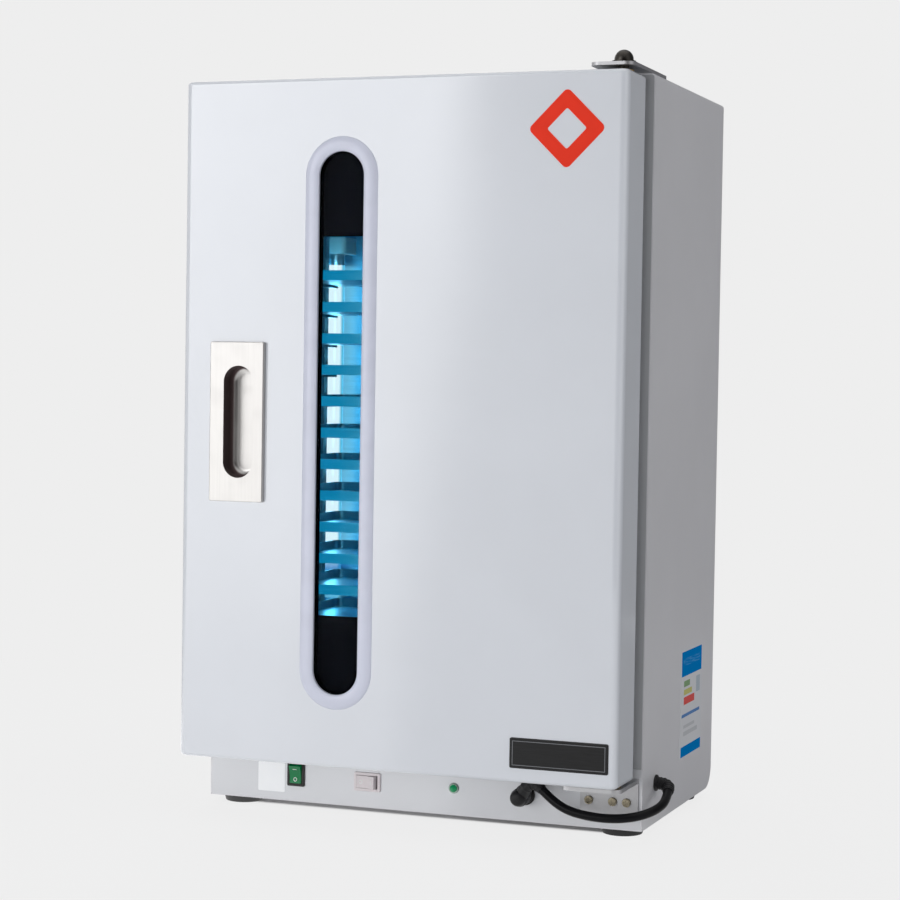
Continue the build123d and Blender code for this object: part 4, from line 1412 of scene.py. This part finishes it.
@dataclass
class Studio:
    """Camera, lamps, backdrop and floor.

    The camera's place is in millimetres and its angles are in degrees. The rest is in metres. The
    headings are directions in which gloss shows a dark or a grey side of the room.
    """

    camera_place: Point = (645.13, -1749.89, 357.75)
    yaw: float = 20.45
    pitch: float = -2.07
    roll: float = 0.90
    lens: float = 91.216
    sensor: float = 36.0
    clip: Pair = (0.05, 60.0)
    backdrop: Colour = linear(238, 238, 238)
    ambient: float = 0.27
    ambient_colour: Colour = (0.96, 0.98, 1.0)
    dark_heading: Point = (0.358, -0.934, 0.0)
    dark_side: Colour = (0.03, 0.025, 0.025)
    dark_from: Pair = (0.80, 0.95)
    grey_heading: Point = (0.45, 0.89, 0.0)
    grey_side: Colour = (0.22, 0.22, 0.23)
    grey_from: Pair = (0.1, 0.75)
    window: RoomWindow = RoomWindow()
    floor_radius: float = 2.2
    floor_sides: int = 96
    floor_colour: Colour = (0.72, 0.72, 0.72)
    floor_roughness: float = 0.95
    floor_fade: Pair = (0.3, 1.0)
    floor_lift: float = 0.07
    shadow_share: float = 0.12
    under_share: float = 0.98
    footprint: Point = (0.1825, 0.108, 0.030)
    footprint_edge: Pair = (0.010, 0.019)
    softboxes: tuple[Softbox, ...] = (
        Softbox("key", (-1.10, -2.3, 0.5), (0.0, 0.0, 0.3), (0.9, 0.9), 6.0),
        Softbox("fill", (0.2, -2.9, 0.35), (0.0, 0.0, 0.3), (1.8, 0.6), 22.0),
        Softbox("low", (-0.45, -1.2, 0.10), (-0.1, -0.1, 0.03), (0.9, 0.16), 1.7),
        Softbox("top", (0.0, 0.1, 2.6), (0.0, 0.0, 0.0), (2.4, 2.4), 14.0, mirrored=True),
        Softbox("side", (2.4, -0.2, 0.6), (0.18, 0.03, 0.3), (1.0, 1.0), 6.0),
        Softbox("back", (-1.3, 2.3, 1.2), (0.0, 0.0, 0.3), (1.4, 1.4), 12.0, mirrored=True),
    )

    def build(self) -> None:
        """Make everything that isn't the object."""
        self.build_camera()
        self.build_world()
        for softbox in self.softboxes:
            softbox.build()
        self.build_floor()
        bpy.context.scene.view_settings.view_transform = "Standard"

    def build_camera(self) -> None:
        """Put the camera where the photograph was taken."""
        yaw, pitch, roll = (math.radians(angle) for angle in (self.yaw, self.pitch, self.roll))
        forward = Vector(
            (-math.sin(yaw) * math.cos(pitch), math.cos(yaw) * math.cos(pitch), math.sin(pitch))
        )
        level = Vector((math.cos(yaw), math.sin(yaw), 0.0))
        above = level.cross(forward)
        right = level * math.cos(roll) + above * math.sin(roll)
        up = above * math.cos(roll) - level * math.sin(roll)
        data = bpy.data.cameras.new("camera")
        data.lens = self.lens
        data.sensor_width = self.sensor
        data.clip_start, data.clip_end = self.clip
        camera = linked("camera", data)
        turn = Matrix((right, up, -forward)).transposed().to_4x4()
        camera.matrix_world = Matrix.Translation(metres(self.camera_place)) @ turn
        bpy.context.scene.camera = camera

    def build_world(self) -> None:
        """A plain backdrop for what sees it, and a dimmer even light for the rest."""
        world = bpy.data.worlds.new("studio")
        bpy.context.scene.world = world
        world.use_nodes = True
        kit = ShaderKit(world.node_tree)
        heading = kit.node("ShaderNodeTexCoord", out="Generated")
        east, north, up = kit.parts(heading)
        towards, behind = (
            kit.node(
                "ShaderNodeVectorMath",
                {"operation": "DOT_PRODUCT"},
                {0: heading, 1: side},
                out="Value",
            )
            for side in (self.dark_heading, self.grey_heading)
        )
        dim = kit.mix(behind.ramp(*self.grey_from), self.backdrop, self.grey_side)
        dim = kit.mix(towards.ramp(*self.dark_from), dim, self.dark_side)
        mirrored = kit.glow("ShaderNodeBackground", dim, self.window.in_room(east, north, up))
        plain = kit.glow("ShaderNodeBackground", self.backdrop, 1.0)
        soft = kit.glow("ShaderNodeBackground", self.ambient_colour, self.ambient)
        unseen = kit.blend(kit.ray("Is Glossy Ray"), soft, mirrored)
        whole = kit.blend(kit.seen(), unseen, plain)
        kit.node("ShaderNodeOutputWorld", {}, {"Surface": whole})

    def build_floor(self) -> None:
        """A floor that takes the object's shadow, and melts into the backdrop further off."""
        mesh = bpy.data.meshes.new("floor")
        work = bmesh.new()
        bmesh.ops.create_circle(
            work, cap_ends=True, segments=self.floor_sides, radius=self.floor_radius
        )
        work.to_mesh(mesh)
        work.free()
        material = bpy.data.materials.new("floor_paper")
        material.use_nodes = True
        kit = ShaderKit(material.node_tree)
        east, north, _ = kit.axes()
        distance = (east * east + north * north) ** 0.5
        far = distance.ramp(*self.floor_fade)
        paper = kit.principled(
            {"Base Color": self.floor_colour, "Roughness": self.floor_roughness}
        )
        lift = 1.0 + self.floor_lift - far * self.floor_lift
        plain = kit.glow("ShaderNodeEmission", self.backdrop, lift)
        grey_x, grey_y, _ = self.grey_heading
        behind = (east * grey_x + north * grey_y) / distance.most(0.01)
        mirrored = kit.glow(
            "ShaderNodeEmission",
            kit.mix(behind.ramp(*self.grey_from), self.backdrop, self.grey_side),
            self.window.on_floor(east, north),
        )
        half_x, half_y, middle_y = self.footprint
        outset = (east.absolute() - half_x).most((north - middle_y).absolute() - half_y)
        under = (0.0 - outset).ramp(*self.footprint_edge) * self.under_share
        share = (1.0 - self.shadow_share + far * self.shadow_share) * (1.0 - under) * kit.seen()
        shown = kit.blend(share, paper, plain)
        kit.surface(kit.blend(kit.ray("Is Glossy Ray"), shown, mirrored))
        mesh.materials.append(material)
        floor = linked("floor", mesh)


@dataclass
class Cabinet:
    """The outer wrap, its pan, rear panel, front frame, fascia, feet and rear fittings."""

    layouts: Layouts
    louvre_columns: tuple[float, ...] = (-82.0, -30.0, 22.0)
    louvre_rows: int = 5
    louvre_pitch: float = 9.0
    louvre_fields: Pair = (94.0, 492.0)
    louvre_length: float = 40.0
    louvre_rise: float = 1.6
    louvre_half_height: float = 2.6
    louvre_middle: float = 2.2
    louvre_end_slope: float = 5.0
    louvre_steps: int = 14
    louvre_sides: int = 6
    overlap: float = 0.05

    def build(self) -> None:
        """Dress the CAD nodes and add the louvres."""
        dress(Finishes.cabinet, "cabinet_shell", "bottom_pan", "back_panel")
        dress(Finishes.frame, "front_frame")
        dress(Finishes.fascia, "control_fascia")
        dress(Finishes.foot, "feet")
        dress(Finishes.screw, "panel_screws")
        dress(Finishes.gland, "mains_gland")
        dress(Finishes.film, "stickers")
        self.build_louvres()

    def louvre(self, height: float) -> bpy.types.Mesh:
        """One pressed hood over a vent slot.

        Args:
            height: The slot's height on the rear panel, in millimetres.

        Returns:
            A mesh of a half-round hood with closed ends.
        """
        half = self.louvre_length / 2
        loops = []
        for step in range(self.louvre_steps + 1):
            share = step / self.louvre_steps
            across = -half + 2 * half * share
            end = min(min(share, 1 - share) * self.louvre_end_slope, 1.0)
            rise = self.louvre_rise * math.sqrt(max(0.0, 1 - (1 - end) ** 2)) + self.overlap
            loop = []
            for part in range(self.louvre_sides + 1):
                turn = math.pi * part / self.louvre_sides
                up = height + self.louvre_middle + self.louvre_half_height * math.cos(turn)
                out = CABINET_REAR - self.overlap + rise * math.sin(turn)
                loop.append(metres((self.louvre_columns[0] + across, out, up)))
            loops.append(loop)
        return MeshMaker.rings(loops)

    def build_louvres(self) -> None:
        """Repeat the hood over both fields of slots."""
        step = (self.louvre_columns[1] - self.louvre_columns[0]) * MM
        for name, first in zip(("louvres_low", "louvres_high"), self.louvre_fields):
            hoods = self.layouts.grid.grow(
                name,
                self.louvre(first),
                {
                    "Columns": len(self.louvre_columns),
                    "Rows": self.louvre_rows,
                    "Column step": (step, 0.0, 0.0),
                    "Row step": (0.0, 0.0, self.louvre_pitch * MM),
                },
                Finishes.cabinet,
            )
            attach(hoods, "cabinet")


@dataclass
class Chamber:
    """The lit chamber: its liner, racks, trays and tubes, and the light that they give."""

    tray_count: int = 12
    tube_lamp: Pair = (142.0, 68.0)
    tube_lamp_span: Pair = (164.8, 443.1)
    tube_lamp_count: int = 12
    tube_lamp_radius: float = 6.0
    tube_lamp_power: float = 0.021
    front_lamp: Point = (-92.0, -94.5, 313.0)
    front_lamp_heading: Point = (0.0, 1.0, 0.0)
    front_lamp_size: Pair = (60.0, 320.0)
    front_lamp_power: float = 0.042
    blue: Colour = (0.14, 0.46, 0.62)
    teal: Colour = (0.002, 0.50, 0.72)

    def build(self) -> None:
        """Dress the CAD nodes and light the chamber."""
        dress(Finishes.chamber, "chamber_liner")
        dress(Finishes.rack, "rack_left", "rack_right")
        dress(Finishes.tray, *(f"tray_{level + 1:02d}" for level in range(self.tray_count)))
        dress(Finishes.tube, "uv_tubes")
        dress(Finishes.cap, "tube_caps")
        dress(Finishes.holder, "tube_holders")
        self.build_lamps()

    def build_lamps(self) -> None:
        """Small blue lamps beside each tube, and a teal lamp in front of the trays."""
        low, high = self.tube_lamp_span
        sideways, back = self.tube_lamp
        for side in (-1, 1):
            for step in range(self.tube_lamp_count):
                data = bpy.data.lights.new("tube_lamp", "POINT")
                data.energy = self.tube_lamp_power
                data.color = self.blue
                data.shadow_soft_size = self.tube_lamp_radius * MM
                height = low + (high - low) * step / (self.tube_lamp_count - 1)
                self.hang(data, (side * sideways, back, height))
        data = bpy.data.lights.new("front_lamp", "AREA")
        data.shape = "RECTANGLE"
        data.size, data.size_y = (size * MM for size in self.front_lamp_size)
        data.energy = self.front_lamp_power
        data.color = self.teal
        lamp = self.hang(data, self.front_lamp)
        heading = Vector(self.front_lamp_heading)
        lamp.rotation_euler = heading.to_track_quat("-Z", "Y").to_euler()

    @staticmethod
    def hang(data: bpy.types.Light, place: Point) -> bpy.types.Object:
        """Put a lamp at a place in millimetres, hidden from the camera and behind glass.

        Args:
            data: The lamp's data.
            place: Its place.

        Returns:
            The lamp.
        """
        lamp = linked(data.name, data)
        lamp.location = metres(place)
        lamp.visible_camera = False
        lamp.visible_transmission = False
        return lamp


@dataclass
class Door:
    """Door shell, inner panel, seal, catch plate, mark and name plate.

    The seal's section is given by its left half, across it and out from the door.
    """

    layouts: Layouts
    seal_width: float = 330.0
    seal_height: float = 500.0
    seal_middle: float = 313.0
    seal_corner: float = 9.0
    seal_corner_points: int = 7
    seal_half: tuple[Pair, ...] = (
        (-7.0, 0.0),
        (-7.0, 1.6),
        (-6.4, 2.6),
        (-4.6, 3.2),
        (-3.9, 3.9),
        (-4.6, 4.7),
        (-6.2, 5.6),
        (-7.0, 7.0),
        (-7.0, 10.4),
        (-6.4, 11.5),
        (-5.2, 12.0),
    )

    def build(self) -> None:
        """Dress the CAD nodes and add the seal."""
        dress(Finishes.door, "door_shell")
        dress(Finishes.inner, "door_liner")
        dress(Finishes.brass, "hinge_bushes")
        dress(Finishes.plated, "strike_plate")
        dress(Finishes.plate, "name_plate")
        dress(Finishes.mark, "door_mark")
        self.build_seal()

    def build_seal(self) -> None:
        """Sweep the soft seal's waisted section round the inner panel."""
        mirrored = [(-across, out) for across, out in reversed(self.seal_half)]
        seal = self.layouts.moulding.grow(
            "soft_seal",
            profile_mesh([*self.seal_half, *mirrored]),
            {
                "Width": self.seal_width * MM,
                "Height": self.seal_height * MM,
                "Corner": self.seal_corner * MM,
                "Corner points": self.seal_corner_points,
                "Place": tuple(metres((0.0, DOOR_REAR, self.seal_middle))),
            },
            Finishes.seal,
            SOFT_CREASE,
        )
        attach(seal, "door")
        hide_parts("door_seal")


@dataclass
class Window:
    """The window's trim, glass and black well, with the trim's section across it and outwards."""

    layouts: Layouts
    middle: Pair = (-46.0, 313.0)
    opening: Pair = (37.0, 417.0)
    border: float = 11.5
    corner_points: int = 30
    trim_section: tuple[Pair, ...] = (
        (-5.75, 0.0),
        (-5.75, -0.9),
        (-5.4, -1.35),
        (-4.7, -1.75),
        (-3.4, -2.05),
        (-1.6, -2.18),
        (0.4, -2.15),
        (2.2, -1.95),
        (3.8, -1.5),
        (4.9, -0.95),
        (5.5, -0.45),
        (5.75, 0.0),
        (3.6, 1.0),
        (-5.75, 1.0),
    )

    def build(self) -> None:
        """Dress the glass and the well, and sweep the trim's rounded section."""
        dress(Finishes.glass, "window_glass")
        dress(Finishes.well, "window_well")
        width, height = (side + self.border for side in self.opening)
        trim = self.layouts.moulding.grow(
            "window_surround",
            profile_mesh(self.trim_section),
            {
                "Width": width * MM,
                "Height": height * MM,
                "Corner": width / 2 * MM,
                "Corner points": self.corner_points,
                "Place": tuple(metres((self.middle[0], DOOR_FRONT, self.middle[1]))),
            },
            Finishes.trim,
            SOFT_CREASE,
        )
        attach(trim, "door")
        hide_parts("window_trim")


@dataclass
class Pull:
    """The flush steel pull."""

    def build(self) -> None:
        """Dress the CAD node."""
        dress(Finishes.pull, "door_pull")


@dataclass
class Hinge:
    """Top plate, bottom bracket, pins and screws."""

    def build(self) -> None:
        """Dress the CAD nodes."""
        dress(Finishes.plated, "hinge_plate_top", "hinge_bracket_bottom", "hinge_pin_bottom")
        dress(Finishes.dark, "hinge_pin_top")
        dress(Finishes.screw, "hinge_screws")


@dataclass
class Rocker:
    """A rocker's place and the printed signs on its two ends, in millimetres and degrees."""

    node: str
    body: str
    pivot: Point
    along: Point
    across: Point
    half_span: float
    rise: float = 4.6
    dip: float = 3.2
    tilt: float = 10.0
    sign_share: float = 0.58
    print_lifts: Pair = (-0.05, 0.12)
    line_points: tuple[float, ...] = (-1.7, -0.85, 0.0, 0.85, 1.7)
    line_width: float = 0.55
    ring_radius: float = 1.35
    ring_points: int = 24
    ring_width: float = 0.5

    def point(self, reach: float, side: float, lift: float) -> Vector:
        """A point on the rocker's curved face.

        Args:
            reach: Distance along the rocker from its middle, in millimetres.
            side: Distance across it.
            lift: Height over the face.

        Returns:
            The point, in metres.
        """
        drop = self.rise - self.dip
        radius = (self.half_span**2 + drop**2) / (2 * drop)
        height = self.dip + radius - math.sqrt(radius**2 - reach**2) + lift
        angle = math.radians(self.tilt)
        along = reach * math.cos(angle) - height * math.sin(angle)
        out = reach * math.sin(angle) + height * math.cos(angle)
        spot = Vector(self.pivot) + Vector(self.along) * along + Vector(self.across) * side
        return (spot + Vector(OUTWARDS) * out) * MM

    def strip(self, outline: Sequence[Pair], closed: bool, width: float) -> bpy.types.Mesh:
        """A thin raised line that follows the face.

        Args:
            outline: Its middle line, along and across the rocker, in millimetres.
            closed: Whether it joins up.
            width: Its width.

        Returns:
            The mesh.
        """
        low, high = self.print_lifts
        corners = ((-1, low), (1, low), (1, high), (-1, high))
        loops = []
        count = len(outline)
        for index, (reach, side) in enumerate(outline):
            after = outline[(index + 1) % count] if closed or index + 1 < count else outline[index]
            before = outline[index - 1] if closed or index else outline[index]
            heading = Vector((after[0] - before[0], after[1] - before[1])).normalized()
            normal = Vector((-heading.y, heading.x)) * width / 2
            loops.append(
                [
                    self.point(reach + normal.x * way, side + normal.y * way, lift)
                    for way, lift in corners
                ]
            )
        return MeshMaker.rings(loops, closed)

    def build(self) -> None:
        """Print a line on one end and a ring on the other."""
        far = self.half_span * self.sign_share
        line = [(far, offset) for offset in self.line_points]
        turns = (turn * math.tau / self.ring_points for turn in range(self.ring_points))
        ring = [
            (-far + self.ring_radius * math.cos(turn), self.ring_radius * math.sin(turn))
            for turn in turns
        ]
        for name, mesh in (
            (f"{self.node}_line", self.strip(line, False, self.line_width)),
            (f"{self.node}_ring", self.strip(ring, True, self.ring_width)),
        ):
            sign = MeshMaker.piece(name, mesh, Finishes.ink)
            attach(sign, self.body)


@dataclass
class Controls:
    """The fittings on the base: switches, indicator and socket, with the catch and door switch."""

    housing_lift: float = 2.0
    pivot_depth: float = 2.4
    power_place: Pair = (-106.0, 29.0)
    power_half_span: float = 7.2
    lamp_place: Pair = (-43.8, 26.8)
    lamp_half_span: float = 7.95

    def build(self) -> None:
        """Dress the CAD nodes and print the rockers."""
        dress(Finishes.switch, "power_switch_housing", "panel_socket")
        dress(Finishes.green, "power_rocker")
        dress(Finishes.pale, "lamp_switch_housing", "lamp_rocker")
        dress(Finishes.bezel, "led_bezel")
        dress(Finishes.led, "led_lens")
        dress(Finishes.catch, "magnet_catch", "interlock_switch")
        dress(Finishes.plunger, "interlock_plunger")
        pivot_y = CABINET_FRONT - self.housing_lift + self.pivot_depth
        for node, (x, z), along, across, half_span in (
            ("power_rocker", self.power_place, (0, 0, 1), (1, 0, 0), self.power_half_span),
            ("lamp_rocker", self.lamp_place, (1, 0, 0), (0, 0, -1), self.lamp_half_span),
        ):
            Rocker(node, node, (x, pivot_y, z), along, across, half_span).build()


@dataclass
class Electrics:
    """What lies in the base behind the fascia."""

    def build(self) -> None:
        """Dress the CAD nodes."""
        dress(Finishes.ballast, "ballast")
        dress(Finishes.holder, "terminal_block")
        dress(Finishes.wire, "wire_harness")


@dataclass(frozen=True)
class RingedSleeve:
    """The radius of a tapering sleeve with raised rings, in millimetres."""

    start: float
    loss: float
    ring_rise: float
    ring_count: float
    plain_share: float

    def radius(self, share: float) -> float:
        """The radius, in metres, at a share of the sleeve's length.

        Args:
            share: The share of the sleeve's length.

        Returns:
            The radius.
        """
        wave = max(0.0, math.sin(share * math.tau * self.ring_count))
        ring = self.ring_rise * wave if share > self.plain_share else 0.0
        return (self.start - self.loss * share + ring) * MM


@dataclass
class Lead:
    """The short black lead from the side of the cabinet to the plug on its front.

    The plug's outline is given as pairs of an inset from its radius and a height.
    """

    layouts: Layouts
    route: tuple[Point, ...] = (
        (195.5, -51.5, 33.0),
        (197.2, -63.0, 29.4),
        (197.0, -76.0, 26.4),
        (192.5, -89.5, 23.6),
        (181.5, -99.0, 20.6),
        (165.5, -102.5, 18.8),
        (148.0, -102.5, 19.3),
        (131.0, -101.5, 22.0),
        (117.5, -99.5, 28.5),
        (108.5, -97.5, 36.0),
    )
    radius: float = 3.5
    length: float = 132.0
    steps: int = 14
    bevel_steps: int = 8
    plug_middle: Point = (88.5, -80.0, 27.2)
    plug_length: float = 20.0
    plug_radius: float = 7.6
    plug_outline: tuple[Pair, ...] = (
        (1.0, 0.0),
        (0.4, 0.4),
        (0.4, 2.6),
        (1.6, 3.2),
        (1.6, 4.4),
        (0.5, 5.0),
        (0.5, 13.0),
        (1.2, 14.0),
        (1.3, 16.2),
        (2.0, 18.2),
        (3.2, 19.4),
        (5.0, 20.0),
    )
    neck_route: tuple[Point, ...] = (
        (90.5, -93.0, 29.2),
        (94.5, -96.0, 36.5),
        (101.7, -96.0, 41.0),
        (108.5, -97.5, 36.0),
    )
    neck_steps: int = 16
    neck: RingedSleeve = RingedSleeve(5.2, 1.3, 0.35, 6.0, 0.3)
    rib_count: int = 20
    rib_half_width: float = 0.55
    rib_start: float = 5.4
    rib_length: float = 7.2
    rib_inset: float = 0.75
    rib_foot: float = 0.2
    rib_rise: float = 0.55
    rib_arch: Pair = (0.1, 0.8)
    rib_steps: int = 5
    rib_sides: int = 8
    grip_route: tuple[Point, ...] = (
        (182.6, -40.0, 37.5),
        (188.2, -40.0, 37.5),
        (193.8, -42.6, 36.0),
        (194.8, -47.0, 34.5),
        (195.5, -51.5, 33.0),
    )
    grip_steps: int = 20
    grip: RingedSleeve = RingedSleeve(5.0, 1.0, 0.4, 7.0, 0.2)
    flange_middle: Point = (182.5, -40.0, 37.5)
    flange_profile: tuple[Pair, ...] = (
        (0.0, 0.0),
        (6.3, 0.0),
        (6.5, 0.5),
        (6.2, 1.4),
        (5.4, 2.0),
        (0.0, 2.0),
    )

    def build(self) -> None:
        plug = self.build_plug()
        ribs = self.build_ribs()
        grip = self.build_grip()
        curve = MeshMaker.smooth_line(self.route, self.steps)
        curve.name = "lead"
        curve.data.name = "lead"
        curve.data.bevel_depth = self.radius * MM
        curve.data.bevel_resolution = self.bevel_steps
        curve.data.use_fill_caps = True
        curve.data.materials.append(Finishes.lead.build())
        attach(curve, "cabinet")
        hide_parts("lead_cord")
        2 * self.radius * MM

    def build_plug(self) -> bpy.types.Object:
        """The plug's turned body with its neck towards the lead.

        Returns:
            The plug.
        """
        outline = [(self.plug_radius - inset, height) for inset, height in self.plug_outline]
        profile = [(0.0, 0.0), *outline, (0.0, self.plug_length)]
        body = MeshMaker.turned(profile, metres(self.plug_middle), OUTWARDS)
        path = MeshMaker.line_points(self.neck_route, self.neck_steps)
        body = MeshMaker.joined(body, MeshMaker.tube(path, self.neck.radius))
        plug = MeshMaker.piece("front_plug", body, Finishes.plug)
        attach(plug, "cabinet")
        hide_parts("lead_plug")
        return plug

    def rib(self) -> bpy.types.Mesh:
        """One grip rib, above the plug's middle.

        Returns:
            The rib.
        """
        base = self.plug_radius - self.rib_inset
        loops = []
        for step in range(self.rib_steps + 1):
            share = step / self.rib_steps
            along = self.rib_start + self.rib_length * share
            arch = self.rib_arch[0] + self.rib_arch[1] * share
            swell = self.rib_rise * math.sin(math.pi * arch)
            loop = []
            for part in range(self.rib_sides):
                turn = math.tau * part / self.rib_sides
                rise = math.sin(turn)
                lift = swell * rise if rise >= 0 else -self.rib_foot
                loop.append(metres((self.rib_half_width * math.cos(turn), -along, base + lift)))
            loops.append(loop)
        return MeshMaker.rings(loops)

    def build_ribs(self) -> bpy.types.Object:
        """The grip ribs round the plug's collar.

        Returns:
            The ribs, as one piece.
        """
        ribs = self.layouts.round.grow(
            "front_plug_ribs",
            self.rib(),
            {
                "Count": self.rib_count,
                "Axis": (0.0, 1.0, 0.0),
                "Place": tuple(metres(self.plug_middle)),
            },
            Finishes.plug,
        )
        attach(ribs, "cabinet")
        return ribs

    def build_grip(self) -> bpy.types.Object:
        """The tapered elbow with its rings, where the lead leaves the side panel.

        Returns:
            The grip.
        """
        path = MeshMaker.line_points(self.grip_route, self.grip_steps)
        sleeve = MeshMaker.tube(path, self.grip.radius)
        flange = MeshMaker.turned(self.flange_profile, metres(self.flange_middle), RIGHTWARDS)
        grip = MeshMaker.piece("side_grip", MeshMaker.joined(sleeve, flange), Finishes.plug)
        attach(grip, "cabinet")
        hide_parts("lead_grip")
        return grip


def main() -> None:
    """Build the scene in order, and report each piece."""
    logging.basicConfig(level=logging.INFO, format="%(message)s")
    layouts = Layouts()
    Studio().build()
    Lead(layouts).build()
    assemblies = (
        Cabinet(layouts),
        Chamber(),
        Door(layouts),
        Window(layouts),
        Pull(),
        Hinge(),
        Controls(),
        Electrics(),
    )
    for assembly in assemblies:
        assembly.build()
        log.info("built %s", type(assembly).__name__.lower())
    for piece in bpy.data.objects:
        if piece.type in {"MESH", "CURVE"}:
            log.info("piece %s", piece.name)


if __name__ == "__main__":
    main()
